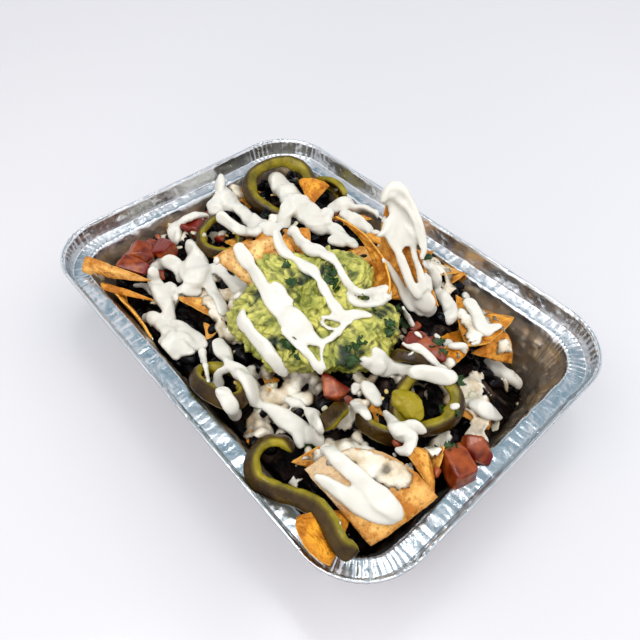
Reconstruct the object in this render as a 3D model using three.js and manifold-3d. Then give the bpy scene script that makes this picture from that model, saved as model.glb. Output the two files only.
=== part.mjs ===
// Loaded nachos in a foil takeaway tray: tortilla chips, black beans and melted cheese, jalapeno
// rings, diced tomato and guacamole, with sour cream poured over the top.
// Millimetres, +Z up. The origin is the centre of the tray's flat base, +X runs along its long side.

import * as THREE from 'three';
import { mergeVertices } from 'three/addons/utils/BufferGeometryUtils.js';
import Module from 'manifold-3d';

const wasm = await Module();
wasm.setup();

// ---------------------------------------------------------------- driving dimensions of the tray
const RIM_LENGTH = 214; // over the top of the lip, along X
const RIM_WIDTH = 152; // over the top of the lip, along Y
const RIM_RADIUS = 27; // of the lip's four corners
const LEDGE_HEIGHT = 46; // of the flat ledge above the table
const LEDGE_WIDTH = 7;
const LIP_HEIGHT = 8.5; // the upright edge that stands on the ledge
const LIP_FLARE = 2.5; // how far the lip leans out at its top
const WALL_TAPER = 12; // how far the wall leans in from the ledge to the floor
const FLOOR_ROUND = 5; // the curve where the wall meets the floor
const FOOT_LEAN = 1.2; // how far the top of that curve stands outside the floor's edge
const FOOT_CURVE = { inset: 0.8, height: 1.6 }; // the middle of that curve, from the floor's edge and base
const FOIL = 0.6; // thicker than real foil, so that it is a sound solid
const GAP = 0.3; // clearance between pieces that touch

const TRAY_EDGES = { corner: 5, long: 1, short: 1 }; // edges in each corner and along each side
const HEAP_EDGES = { corner: 3, long: 6, short: 4 };

// ---------------------------------------------------------------- driving dimensions of the food
const CHIP_THICKNESS = 1.9;
const CHIP_CELL = 8; // how long the edges of a chip's triangle grid are, about
const CHIP_ARC = 0.07; // bulge of the chip's outer edge, as a part of its length
const RING_STEPS = 12; // edges round a jalapeno ring
const CREAM_SIDES = 5; // edges round a stroke of cream
const CREAM_FLATNESS = 0.8; // a stroke's height over its width
const CREAM_END = { reach: 0.7, width: 0.6 }; // the round end of a stroke, as parts of its half width
const BED_RINGS = [0.94, 0.8, 0.63, 0.44, 0.23]; // the heap's grid, as parts of the way out
const BED_CLEARANCE = 0.35; // between the heap and the foil

// ---------------------------------------------------------------- small helpers

// A point from its three coordinates.
function point([x, y, z]) {
  return new THREE.Vector3(x, y, z);
}

// The points of a rounded rectangle, anticlockwise, always the same number for the same edge counts.
function roundedRectangle(halfLength, halfWidth, radius, edges) {
  const centres = [[1, 1], [-1, 1], [-1, -1], [1, -1]].map(([sideX, sideY]) =>
    [sideX * (halfLength - radius), sideY * (halfWidth - radius)]);
  const outline = [];
  centres.forEach(([middleX, middleY], quarter) => {
    for (let step = 0; step <= edges.corner; step += 1) {
      const angle = (quarter + step / edges.corner) * Math.PI / 2;
      outline.push([middleX + radius * Math.cos(angle), middleY + radius * Math.sin(angle)]);
    }
    const [fromX, fromY] = outline[outline.length - 1];
    const startAngle = (quarter + 1) * Math.PI / 2;
    const [nextX, nextY] = centres[(quarter + 1) % 4];
    const toX = nextX + radius * Math.cos(startAngle);
    const toY = nextY + radius * Math.sin(startAngle);
    const pieces = quarter % 2 === 0 ? edges.long : edges.short;
    for (let step = 1; step < pieces; step += 1) {
      const part = step / pieces;
      outline.push([fromX + (toX - fromX) * part, fromY + (toY - fromY) * part]);
    }
  });
  return outline;
}

// The tray's outline moved in by an inset from the top of the lip.
function trayOutline(inset, edges = TRAY_EDGES) {
  const radius = Math.max(RIM_RADIUS - inset, 9);
  return roundedRectangle(RIM_LENGTH / 2 - inset, RIM_WIDTH / 2 - inset, radius, edges);
}

// Joins a row of loops, each with the same number of points, into one closed surface.
// Open ends are closed by a fan to the middle of the loop; a closed row joins its last loop to its first.
function skinLoops(loops, closed = false) {
  const count = loops[0].length;
  const positions = [];
  const faces = [];
  loops.forEach((loop) => loop.forEach((p) => positions.push(p.x, p.y, p.z)));
  const rows = closed ? loops.length : loops.length - 1;
  for (let row = 0; row < rows; row += 1) {
    const here = row * count;
    const next = ((row + 1) % loops.length) * count;
    for (let i = 0; i < count; i += 1) {
      const j = (i + 1) % count;
      faces.push(here + i, here + j, next + j);
      faces.push(here + i, next + j, next + i);
    }
  }
  if (!closed) {
    const last = (loops.length - 1) * count;
    const firstMiddle = positions.length / 3;
    const lastMiddle = firstMiddle + 1;
    [loops[0], loops[loops.length - 1]].forEach((loop) => {
      const middle = new THREE.Vector3();
      loop.forEach((p) => middle.addScaledVector(p, 1 / count));
      positions.push(middle.x, middle.y, middle.z);
    });
    for (let i = 0; i < count; i += 1) {
      const j = (i + 1) % count;
      faces.push(firstMiddle, j, i);
      faces.push(lastMiddle, last + i, last + j);
    }
  }
  const geometry = new THREE.BufferGeometry();
  geometry.setAttribute('position', new THREE.Float32BufferAttribute(positions, 3));
  geometry.setIndex(faces);
  return geometry;
}

// A closed geometry as a manifold solid, turned right side out if its loops ran the other way.
function toSolid(geometry) {
  const bare = geometry.clone();
  bare.deleteAttribute('normal');
  bare.deleteAttribute('uv');
  const merged = mergeVertices(bare, 1e-4);
  const vertProperties = new Float32Array(merged.attributes.position.array);
  const triVerts = new Uint32Array(merged.index.array);
  if (signedVolume(vertProperties, triVerts) < 0) {
    for (let t = 0; t < triVerts.length; t += 3) {
      const swap = triVerts[t + 1];
      triVerts[t + 1] = triVerts[t + 2];
      triVerts[t + 2] = swap;
    }
  }
  return new wasm.Manifold(new wasm.Mesh({ numProp: 3, vertProperties, triVerts }));
}

// Six times the volume that a closed triangle mesh encloses: negative when it is inside out.
function signedVolume(vertices, triangles) {
  let total = 0;
  const corner = (index) => new THREE.Vector3().fromArray(vertices, index * 3);
  for (let t = 0; t < triangles.length; t += 3) {
    const a = corner(triangles[t]);
    const b = corner(triangles[t + 1]);
    const c = corner(triangles[t + 2]);
    total += a.dot(b.cross(c));
  }
  return total;
}

// A manifold solid back as a geometry.
function toGeometry(solid) {
  const mesh = solid.getMesh();
  const geometry = new THREE.BufferGeometry();
  geometry.setAttribute('position', new THREE.BufferAttribute(new Float32Array(mesh.vertProperties), 3));
  geometry.setIndex(new THREE.BufferAttribute(new Uint32Array(mesh.triVerts), 1));
  geometry.computeVertexNormals();
  return geometry;
}

// The biggest of a solid's separate bodies: a cut may leave crumbs behind.
function biggestBody(solid) {
  const bodies = solid.decompose();
  return bodies.reduce((best, body) => (body.volume() > best.volume() ? body : best));
}

// ---------------------------------------------------------------- the foil tray

// A shell turned along the rounded outline: out over the base, up the wall, over the ledge and lip,
// and back down inside. grow thickens it on every side.
function trayShell(grow = 0) {
  const ledgeInset = LIP_FLARE + LEDGE_WIDTH;
  const floorInset = ledgeInset + WALL_TAPER;
  const outside = [
    [floorInset + FLOOR_ROUND, -grow],
    [floorInset + FOOT_CURVE.inset, FOOT_CURVE.height - grow],
    [floorInset - FOOT_LEAN, FLOOR_ROUND],
    [ledgeInset - grow, LEDGE_HEIGHT - FOIL - grow],
    [LIP_FLARE - grow, LEDGE_HEIGHT - FOIL - grow],
    [-grow, LEDGE_HEIGHT + LIP_HEIGHT + grow],
  ];
  const inside = [
    [FOIL + grow, LEDGE_HEIGHT + LIP_HEIGHT + grow],
    [LIP_FLARE + FOIL + grow, LEDGE_HEIGHT + grow],
    [ledgeInset + FOIL + grow, LEDGE_HEIGHT + grow],
    [floorInset - FOOT_LEAN + FOIL + grow, FLOOR_ROUND + FOIL + grow],
    [floorInset + FOOT_CURVE.inset + FOIL + grow, FOOT_CURVE.height + FOIL + grow],
    [floorInset + FLOOR_ROUND + FOIL, FOIL + grow],
  ];
  const loops = [...outside, ...inside].map(([inset, z]) =>
    trayOutline(inset).map(([x, y]) => new THREE.Vector3(x, y, z)));
  return skinLoops(loops);
}

// ---------------------------------------------------------------- the heap of beans, cheese and chips

// Mounds and hollows of the heap: middle x, y, height over the base level, and how far each spreads.
const BED_LEVEL = 39;
const BED_RIPPLE = 1.1; // how high the beans stand over the mounds, up and down
const BED_FOOT = { bottom: FLOOR_ROUND + 2, low: 1.4 }; // how far the heap draws in at its foot
const BED_MOUNDS = [
  [10, -4, 12, 44], // the middle, under the guacamole
  [76, -36, 8, 20], // under the front chip
  [20, 44, 10, 28], // behind the guacamole
  [64, 4, 8, 22], // under the jalapenos on the right
  [-66, -8, 5, 26],
  [-52, 40, 7, 28],
  [90, 56, -20, 24], // the empty corner
  [70, 62, -9, 14],
  [-94, -50, -9, 18], // the dark hollows in the left corner
  [-60, -60, -9, 12],
  [-34, -52, -4, 12],
  [30, -62, -3, 12],
];

// Height of the heap at a place: the level, the mounds and a small ripple of beans.
function bedHeight(x, y) {
  let height = BED_LEVEL;
  BED_MOUNDS.forEach(([middleX, middleY, rise, spread]) => {
    const distance = Math.hypot(x - middleX, y - middleY) / spread;
    height += rise * Math.exp(-distance * distance);
  });
  const ripple = Math.sin(x * 0.42 + 1.3 * Math.sin(y * 0.21)) * Math.sin(y * 0.47 + 0.8);
  return height + BED_RIPPLE * ripple;
}

// How far the inside of the wall is from the lip's outline at a height.
function wallInset(z) {
  const down = (LEDGE_HEIGHT - z) / LEDGE_HEIGHT;
  return LIP_FLARE + LEDGE_WIDTH + FOIL + WALL_TAPER * down;
}

// The heap fills the tray from just over the floor to its uneven top.
function bedSolid(grow = 0) {
  const sideHeights = [0, 0.12, 1];
  const floorZ = FOIL + BED_CLEARANCE - grow;
  const clearance = BED_CLEARANCE - grow;
  const wallOutline = (z, inset = 0) => trayOutline(wallInset(z) + clearance + inset, HEAP_EDGES);
  const edge = wallOutline(BED_LEVEL).map((start, i) => {
    let [x, y] = start;
    let z = BED_LEVEL;
    for (let pass = 0; pass < 4; pass += 1) { // slides to where the heap's top meets the sloping wall
      z = bedHeight(x, y) + grow;
      [x, y] = wallOutline(z)[i];
    }
    return new THREE.Vector3(x, y, z);
  });
  const loops = sideHeights.map((part) => edge.map((top, i) => {
    if (part === 1) {
      return top;
    }
    const z = floorZ + (top.z - floorZ) * part;
    const [x, y] = wallOutline(z, part === 0 ? BED_FOOT.bottom : BED_FOOT.low)[i];
    return new THREE.Vector3(x, y, z);
  }));
  BED_RINGS.forEach((part) => {
    loops.push(edge.map((top) => {
      const x = top.x * part;
      const y = top.y * part;
      return new THREE.Vector3(x, y, bedHeight(x, y) + grow);
    }));
  });
  return skinLoops(loops);
}

// ---------------------------------------------------------------- tortilla chips

// A chip is a curved triangle: a Bezier patch whose three sides are bowed out of its plane.
// bends holds how far the middles of sides ab, bc and ca stand off the plane.
function chipShell({ corners, bends, arc = CHIP_ARC }, grow = 0) {
  const [a, b, c] = corners.map(point);
  const middle = a.clone().add(b).add(c).divideScalar(3);
  [a, b, c].forEach((corner) => {
    const out = corner.clone().sub(middle);
    corner.addScaledVector(out.normalize(), grow);
  });
  const plane = b.clone().sub(a).cross(c.clone().sub(a)).normalize();
  const [bendAB, bendBC, bendCA] = bends;
  const bulge = b.clone().add(c).divideScalar(2).sub(a).normalize().multiplyScalar(b.distanceTo(c) * arc);
  const control = (p, q, bend) => p.clone().add(q).divideScalar(2).addScaledVector(plane, 2 * bend);
  const controlAB = control(a, b, bendAB);
  const controlBC = control(b, c, bendBC).addScaledVector(bulge, 2);
  const controlCA = control(c, a, bendCA);
  const surface = (v, w) => {
    const u = 1 - v - w;
    return new THREE.Vector3()
      .addScaledVector(a, u * u).addScaledVector(b, v * v).addScaledVector(c, w * w)
      .addScaledVector(controlAB, 2 * u * v).addScaledVector(controlBC, 2 * v * w)
      .addScaledVector(controlCA, 2 * w * u);
  };
  const longest = Math.max(a.distanceTo(b), b.distanceTo(c), c.distanceTo(a));
  const steps = THREE.MathUtils.clamp(Math.round((longest - 2 * grow) / CHIP_CELL), 3, 6);
  const nudge = 1e-3;
  const half = CHIP_THICKNESS / 2 + grow;
  const sides = [[], []];
  const rowStart = [];
  for (let i = 0; i <= steps; i += 1) {
    rowStart.push(sides[0].length);
    for (let j = 0; j <= i; j += 1) {
      const v = (i - j) / steps;
      const w = j / steps;
      const here = surface(v, w);
      const alongV = surface(v + nudge, w).sub(here);
      const alongW = surface(v, w + nudge).sub(here);
      const normal = alongV.cross(alongW).normalize();
      sides[0].push(here.clone().addScaledVector(normal, half));
      sides[1].push(here.clone().addScaledVector(normal, -half));
    }
  }
  const count = sides[0].length;
  const faces = [];
  const addBoth = (p, q, r) => {
    faces.push(p, q, r);
    faces.push(count + p, count + r, count + q);
  };
  const rim = [];
  for (let i = 0; i < steps; i += 1) {
    rim.push(rowStart[i]);
    for (let j = 0; j <= i; j += 1) {
      addBoth(rowStart[i] + j, rowStart[i + 1] + j, rowStart[i + 1] + j + 1);
      if (j < i) {
        addBoth(rowStart[i] + j, rowStart[i + 1] + j + 1, rowStart[i] + j + 1);
      }
    }
  }
  for (let j = 0; j < steps; j += 1) {
    rim.push(rowStart[steps] + j);
  }
  for (let i = steps; i > 0; i -= 1) {
    rim.push(rowStart[i] + i);
  }
  rim.forEach((p, k) => {
    const q = rim[(k + 1) % rim.length];
    faces.push(p, count + p, count + q);
    faces.push(p, count + q, q);
  });
  const geometry = new THREE.BufferGeometry();
  geometry.setFromPoints([...sides[0], ...sides[1]]);
  geometry.setIndex(faces);
  return geometry;
}

const CHIPS = {
  chip_front: { corners: [[93, -57, 49], [97, -29, 52], [60.5, -58, 57]], bends: [2, 4, 2], arc: 0.22 },
  chip_front_broken: { corners: [[77, -27, 56], [96, -30, 51], [82, -18, 50]], bends: [1, 0, 1] },
  chip_front_under: { corners: [[53, -58, 50], [57, -45, 53], [72, -44, 47]], bends: [0, 2, 0] },
  chip_corner: { corners: [[80, -53, 47], [71, -70.5, 57], [90, -72.5, 56]], bends: [2, 1, 2], arc: 0.2 },
  chip_sliver: { corners: [[86, -13, 53], [91, -26, 47], [80, -17, 40]], bends: [1, 0, 0] },
  chip_dollop: { corners: [[82, 20, 47], [79, 4, 48], [92, 9, 44]], bends: [1, 1, 1] },
  chip_orange: { corners: [[57, 15, 57], [66, 12, 53], [65, 27, 56]], bends: [1, 1, 1] },
  chip_tall: { corners: [[42, 36, 53], [24, 20, 56], [2, 45, 91]], bends: [4, 5, 3], arc: 0.12 },
  chip_curl: { corners: [[-11, 22, 78], [20.3, 14.9, 58.5], [30, 15.4, 66]], bends: [-9, -2, -10] },
  chip_guac_left: { corners: [[-41, -24, 61], [-1, -18, 57], [-23, 0, 72]], bends: [3, 3, 3], arc: 0.12 },
  chip_back_small: { corners: [[-30, 8, 66], [-6, 4, 60], [-19, 15, 70]], bends: [1, 1, 1] },
  chip_right_bowl: { corners: [[40, 50, 50], [64, 27, 54], [66, 59, 50]], bends: [-4, -2, -3] },
  chip_right_under: { corners: [[64, 31, 46], [77, 47, 37], [67, 50, 49]], bends: [2, 1, 1] },
  chip_left_corner: { corners: [[-88, -63.5, 53], [-83, -69, 49.5], [-59.5, -46, 46.5]], bends: [1, 0, 2] },
  chip_left_under: { corners: [[-73.5, -65, 48], [-69.5, -66.5, 47], [-50.5, -50, 43]], bends: [1, 0, 1] },
  chip_left_side: { corners: [[-76, -64.5, 45], [-31, -64, 45.5], [-68, -60.5, 37]], bends: [2, 0, 1] },
  chip_left_inner: { corners: [[-46, -44, 46], [-36.5, -31.5, 44], [-18, -36, 47]], bends: [1, 0, 1] },
  chip_back_corner: { corners: [[-52, 44, 46], [-54, 60, 51], [-70, 51, 50]], bends: [1, 2, 1] },
};

// ---------------------------------------------------------------- jalapeno rings and strips

// Carries an oval section along a path. side says which way the section's broad direction lies.
function carrySection(path, side, broad, thin, closed, sections = 6) {
  const loops = path.map((here, i) => {
    const before = closed ? path[(i + path.length - 1) % path.length] : path[Math.max(i - 1, 0)];
    const after = closed ? path[(i + 1) % path.length] : path[Math.min(i + 1, path.length - 1)];
    const along = after.clone().sub(before).normalize();
    const across = side.clone().addScaledVector(along, -side.dot(along)).normalize();
    const up = along.clone().cross(across);
    const endScale = !closed && (i === 0 || i === path.length - 1) ? STRIP_END : 1;
    const loop = [];
    for (let k = 0; k < sections; k += 1) {
      const angle = (k + 0.5) / sections * 2 * Math.PI;
      loop.push(here.clone()
        .addScaledVector(across, Math.cos(angle) * broad / 2 * endScale)
        .addScaledVector(up, Math.sin(angle) * thin / 2 * endScale));
    }
    return loop;
  });
  return skinLoops(loops, closed);
}

const RING_WAVE = 0.07; // how far a ring swells and narrows, as a part of its radius
const STRIP_END = 0.55; // how much of the section is left at a strip's two ends

// A ring cut across the pepper: an uneven oval of wall, tilted, as tall as the slice is thick.
function jalapenoRing({ middle, normal, radii, slice, wall, lobes = 3 }, grow = 0) {
  const axis = point(normal).normalize();
  const long = new THREE.Vector3(1, 0, 0).addScaledVector(axis, -axis.x).normalize();
  const short = axis.clone().cross(long);
  const path = [];
  for (let i = 0; i < RING_STEPS; i += 1) {
    const angle = i / RING_STEPS * 2 * Math.PI;
    const uneven = 1 + RING_WAVE * Math.sin(lobes * angle + middle[0]);
    path.push(point(middle)
      .addScaledVector(long, radii[0] * uneven * Math.cos(angle))
      .addScaledVector(short, radii[1] * uneven * Math.sin(angle)));
  }
  return carrySection(path, axis, slice + 2 * grow, wall + 2 * grow, true);
}

// A strip cut along the pepper, laid on a smooth path through hand-set places.
function jalapenoStrip({ places, side, broad, thin, steps }, grow = 0) {
  const curve = new THREE.CatmullRomCurve3(places.map(point));
  const path = curve.getSpacedPoints(steps);
  return carrySection(path, point(side), broad + 2 * grow, thin + 2 * grow, false);
}

const JALAPENO_RINGS = {
  jalapeno_left: { middle: [9, -56, 49], normal: [-0.2, 0.3, 1], radii: [12, 8], slice: 6.5, wall: 4.4 },
  jalapeno_right: { middle: [69.5, -4.5, 53.5], normal: [0.1, -0.3, 1], radii: [10.5, 12.5], slice: 6.5, wall: 5 },
  jalapeno_back_left: { middle: [-62, -6, 48.5], normal: [0.3, -0.2, 1], radii: [10.5, 9.5], slice: 6, wall: 4 },
  jalapeno_back: { middle: [-73, 42, 47.5], normal: [0.35, -0.2, 1], radii: [17.5, 16.5], slice: 7, wall: 6.2 },
};
const JALAPENO_STRIPS = {
  jalapeno_front: {
    places: [[50.5, -54.5, 50], [45.5, -54.5, 50.5], [42, -58.5, 51], [42, -64, 51], [45, -68.5, 51],
      [50.5, -71, 51], [56.5, -69.5, 51.5], [63, -66.5, 53], [69.5, -64, 55], [75, -63, 57], [80.5, -64, 59],
      [84.5, -65.5, 59.5], [89, -66, 59], [92.5, -63, 57]],
    side: [0, 0, 1], broad: 7.5, thin: 4.2, steps: 17,
  },
  jalapeno_strip_front: {
    places: [[55, -26.5, 51], [61, -27.5, 51.5], [67, -26.5, 52], [72, -23.5, 52.5], [74, -18, 52]],
    side: [0, 0, 1], broad: 6, thin: 4, steps: 7,
  },
  jalapeno_middle: {
    places: [[51, -41, 50], [50.5, -37, 51.5], [50, -32, 52], [49, -26.5, 51]],
    side: [1, 0, 0.2], broad: 7, thin: 3.8, steps: 6,
  },
  jalapeno_right_back: {
    places: [[46, 1, 54], [52, 3, 57], [58, 7, 57], [63, 12, 54]],
    side: [-0.5, 0.4, 1], broad: 5, thin: 3.6, steps: 6,
  },
  jalapeno_back_strip: {
    places: [[-72, 64, 42], [-62, 67, 46], [-54, 68, 46], [-46, 66, 43]],
    side: [0, -0.6, 1], broad: 6, thin: 4, steps: 6,
  },
};

// ---------------------------------------------------------------- diced tomato

const DICE_SOFTNESS = 0.4; // 0 is a sharp box, 1 a ball

// A dice of tomato: a box whose corners are drawn in towards a ball, turned as it fell.
function tomatoDice({ middle, size, turn }, grow = 0) {
  const [length, width, height] = size.map((edge) => edge + 2 * grow);
  const geometry = new THREE.BoxGeometry(length, width, height, 2, 2, 2);
  const place = geometry.attributes.position;
  const spot = new THREE.Vector3();
  for (let i = 0; i < place.count; i += 1) {
    spot.fromBufferAttribute(place, i);
    const unit = spot.clone().divide(new THREE.Vector3(length / 2, width / 2, height / 2));
    const round = unit.clone().normalize();
    unit.lerp(round, DICE_SOFTNESS);
    place.setXYZ(i, unit.x * length / 2, unit.y * width / 2, unit.z * height / 2);
  }
  geometry.applyMatrix4(new THREE.Matrix4().makeRotationFromEuler(new THREE.Euler(...turn)));
  geometry.translate(...middle);
  return geometry;
}

const TOMATOES = {
  tomato_right_upper: { middle: [93.5, -3.5, 49], size: [11, 9, 8], turn: [0.2, 0.3, 0.5] },
  tomato_right_lower: { middle: [94, -13.5, 48], size: [13, 10, 9], turn: [-0.2, 0.1, -0.4] },
  tomato_middle: { middle: [50, 12, 56], size: [10, 8, 7], turn: [0.1, 0.4, 0.7] },
  tomato_middle_right: { middle: [56, 13, 57], size: [12, 7, 7], turn: [0.3, 0.2, 0.2] },
  tomato_under_guacamole: { middle: [41, -25, 49], size: [10, 9, 8], turn: [0.4, 0, 0.3] },
  tomato_left_upper: { middle: [-74.5, -31.5, 46], size: [12, 10, 9], turn: [0.2, -0.2, 0.3] },
  tomato_left_middle: { middle: [-72, -49, 48], size: [16, 7, 5], turn: [0, 0.2, 0.6] },
  tomato_left_lower: { middle: [-78.5, -41, 46.5], size: [11, 10, 8], turn: [-0.2, 0.1, 0.9] },
  tomato_back_left: { middle: [-78, -10, 46.5], size: [11, 9, 7], turn: [0.2, 0.3, 0.1] },
};

// ---------------------------------------------------------------- guacamole

// The spoonfuls that were dropped on one another, as eggs: middle and radii.
const SPOONFULS = [
  { middle: [5, -26, 54], radii: [25, 15, 12] }, // the broad lobe in front
  { middle: [30, -3, 55], radii: [15, 22, 11] }, // the lobe on the right
  { middle: [8, 6, 64], radii: [16, 12, 12] }, // the peak at the back, inside the curled chip
  { middle: [-7, -12, 61], radii: [14, 14, 12] }, // against the chip on the left
  { middle: [12, -10, 60], radii: [15, 13, 13] }, // in the middle of them
];
const GUACAMOLE_HEART = [11, -10, 58]; // every place of the mound can be seen from here
const GUACAMOLE_FIRMNESS = 2.4; // the softer the spoonfuls, the more they run together
const GUACAMOLE_GRID = { round: 16, down: 10 };
const GUACAMOLE_LUMPS = 0.03; // height of the soft lumps, as a part of the way out from the heart
const GUACAMOLE_REACH = 70; // farther out than the mound goes anywhere
const SKIN_TOLERANCE = 0.02; // how closely the mound's skin is found

// How full of guacamole a place is: 1 on the skin of the mound, more inside it.
function guacamoleFill(place) {
  return SPOONFULS.reduce((fill, { middle, radii }) => {
    const inEggs = place.clone().sub(point(middle)).divide(point(radii));
    return fill + Math.exp(GUACAMOLE_FIRMNESS * (1 - inEggs.lengthSq()));
  }, 0);
}

// The mound: from its heart out to the skin in every direction, with soft lumps.
function guacamoleMound(grow = 0) {
  const heart = point(GUACAMOLE_HEART);
  const loops = [];
  for (let row = 0; row < GUACAMOLE_GRID.down; row += 1) {
    const polar = (row + 0.5) / GUACAMOLE_GRID.down * Math.PI;
    const loop = [];
    for (let i = 0; i < GUACAMOLE_GRID.round; i += 1) {
      const azimuth = i / GUACAMOLE_GRID.round * 2 * Math.PI;
      const away = new THREE.Vector3().setFromSphericalCoords(1, polar, azimuth);
      away.set(away.z, away.x, away.y); // polar angle from the top
      let near = 0;
      let far = GUACAMOLE_REACH;
      while (far - near > SKIN_TOLERANCE) {
        const middle = (near + far) / 2;
        if (guacamoleFill(heart.clone().addScaledVector(away, middle)) > 1) {
          near = middle;
        } else {
          far = middle;
        }
      }
      const wave = Math.sin(4 * azimuth + 3 * polar) + Math.sin(7 * azimuth - 5 * polar);
      const lump = 1 + GUACAMOLE_LUMPS * wave * Math.sin(polar); // the waves die out at the two poles
      loop.push(heart.clone().addScaledVector(away, near * lump + grow));
    }
    loops.push(loop);
  }
  return skinLoops(loops);
}

// ---------------------------------------------------------------- sour cream

// A stroke of cream: places with the stroke's half width, round at both ends and a little flat.
function creamStroke(places) {
  const curve = new THREE.CatmullRomCurve3(places.map(([x, y, z]) => new THREE.Vector3(x, y, z)));
  const steps = Math.max(places.length - 1, 2);
  const loops = [];
  for (let i = 0; i <= steps; i += 1) {
    const t = i / steps;
    const whole = t * (places.length - 1);
    const from = Math.min(Math.floor(whole), places.length - 2);
    const radius = THREE.MathUtils.lerp(places[from][3], places[from + 1][3], whole - from);
    const here = curve.getPoint(t);
    const along = curve.getTangent(t);
    const across = new THREE.Vector3(0, 0, 1).cross(along).normalize();
    const up = along.clone().cross(across);
    const addLoop = (shift, scale) => {
      const loop = [];
      for (let k = 0; k < CREAM_SIDES; k += 1) {
        const angle = k / CREAM_SIDES * 2 * Math.PI;
        loop.push(here.clone().addScaledVector(along, shift)
          .addScaledVector(across, Math.cos(angle) * radius * scale)
          .addScaledVector(up, Math.sin(angle) * radius * scale * CREAM_FLATNESS));
      }
      loops.push(loop);
    };
    if (i === 0) {
      addLoop(-radius * CREAM_END.reach, CREAM_END.width);
    }
    addLoop(0, 1);
    if (i === steps) {
      addLoop(radius * CREAM_END.reach, CREAM_END.width);
    }
  }
  return skinLoops(loops);
}

// The thick strokes and dollops: x, y, z and half width along each. Thin trails are left to the finish.
const CREAM = {
  cream_tall_chip: [
    [[1, 38, 88, 2.6], [6, 44, 92, 3.8], [10, 49, 83, 4.2], [14, 51, 70, 4], [20, 52, 58, 3.8],
      [30, 48, 52, 3.8], [41, 43, 51, 4], [46, 41, 49, 3]],
    [[4, 38, 86, 4], [12, 38, 79, 4.2], [21, 37, 70, 3.6], [29, 36, 62, 4], [34, 33, 57, 4.4]],
    [[5, 34, 80, 3.4], [14, 33, 71, 3], [23, 31, 62, 2.8], [31, 31, 56, 3.8]],
  ],
  cream_front: [
    [[29, -51, 51, 2.6], [37, -48, 54, 3.4], [48, -47, 59, 5.4], [57, -46, 58, 4], [65, -46, 58, 3.4],
      [73, -47, 60, 3.8], [82, -48, 62, 4.2], [91, -47, 58, 4]],
    [[68, -56, 60, 2.2], [77, -55, 62, 3.2], [85, -52, 61, 3.6], [91, -49, 58, 3]],
    [[38, -41, 50, 3], [45, -42, 54, 4]],
  ],
  cream_left_loop: [
    [[-12, -46, 47, 3.2], [-7, -45, 49, 4], [2, -45, 52, 3.8], [12, -46, 54, 4], [19, -49, 51, 3.6]],
  ],
  cream_left_inner: [
    [[6, -57, 53, 2.8], [13, -59, 56, 3.2], [20, -61, 56, 3.4], [25, -62, 52, 3]],
  ],
  cream_left_hook: [
    [[-61, -54, 48, 2], [-54, -50, 48, 3.2], [-48, -49, 47, 4.2], [-41, -52, 43, 3.8]],
    [[-50, -47, 49, 3.6], [-58, -46, 50, 3.2], [-62, -41, 51, 3], [-58, -35, 52, 3]],
  ],
  cream_left_pool: [
    [[-47, -58, 43, 3.4], [-38, -57, 43, 4.6], [-28, -56, 44, 5.4], [-19, -54, 45, 5]],
    [[-37, -53, 45, 3.8], [-27, -50, 46, 4.6], [-18, -50, 46, 3.4]],
  ],
  cream_left_middle: [
    [[-71, -20, 48, 3.6], [-63, -24, 48, 4.6], [-53, -27, 49, 5.8], [-47, -35, 46, 3.6]],
  ],
  cream_back_left: [
    [[-97, 16, 49, 3.8], [-86, 8, 50, 4.6], [-74, 3, 52, 4.4], [-62, 1, 54, 4], [-50, 2, 56, 4],
      [-37, 1, 61, 3.8]],
    [[-87, 14, 49, 3.6], [-76, 16, 50, 3.2], [-65, 16, 50, 3.4], [-54, 17, 51, 3.8]],
  ],
  cream_back_middle: [
    [[-76, 40, 53, 3.8], [-66, 38, 52, 5], [-52, 35, 52, 6.2], [-41, 33, 52, 6]],
  ],
  cream_back_right: [
    [[-40, 50, 52, 3.4], [-33, 52, 55, 4.2], [-24, 51, 58, 4], [-13, 47, 62, 3.2]],
    [[-36, 50, 52, 4], [-27, 50, 53, 4.6], [-17, 48, 54, 3.8]],
  ],
  cream_middle: [
    [[42, -11, 57, 2.4], [45, -8, 60, 4.2], [52, -4, 60, 4], [60, -1, 60, 3], [67, 3, 60, 3.2],
      [73, 6, 59, 2.8]],
    [[53, 8, 60, 1.6], [61, 8, 61, 2], [68, 7, 60, 2.4]],
  ],
  cream_right_dollop: [[[78, 11, 50, 2.6], [84, 11, 52, 3.2], [90, 14, 49, 3.4]]],
  cream_right_far: [[[71, 35, 46, 2.6], [76, 40, 43, 3.6], [82, 45, 39, 3.6]]],
  cream_right_blob: [[[60, 17, 60, 3.2], [65, 21, 59, 3.2]]],
  cream_right_bowl: [
    [[42, 52, 52, 2.2], [48, 49, 52, 3.2], [55, 45, 51, 3.2], [61, 40, 52, 2.8]],
  ],
  cream_centre: [
    [[63, -19, 56, 2], [68, -21, 57, 3], [74, -19, 57, 4], [76, -13, 56, 3]],
    [[74, -24, 57, 3], [80, -27, 58, 3]],
  ],
  cream_guacamole_wide: [
    [[-28, -17, 71, 3.6], [-20, -18, 71, 4], [-11, -21, 71, 4], [-2, -22, 71, 3.8], [8, -23, 71, 4.2],
      [18, -23, 69, 4.6], [27, -22, 65, 3.2]],
  ],
  cream_guacamole_front: [
    [[-3, -34, 65, 2.6], [3, -37, 63, 2.8], [12, -38, 61, 2.8], [23, -37, 56, 2.4]],
  ],
  cream_guacamole_back: [
    [[-21, 8, 72, 2.6], [-12, 6, 73, 3.4], [-1, 4, 76, 3.4], [9, 4, 78, 2.6], [18, 2, 74, 2.4],
      [25, 5, 70, 2.6], [28, 13, 67, 2.4]],
  ],
  cream_guacamole_middle: [
    [[-23, -3, 75, 2.8], [-12, -4, 75, 3], [0, -5, 75, 2.8], [10, -5, 75, 2], [20, -7, 72, 2.4],
      [29, -7, 68, 2.2]],
  ],
};

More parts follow.
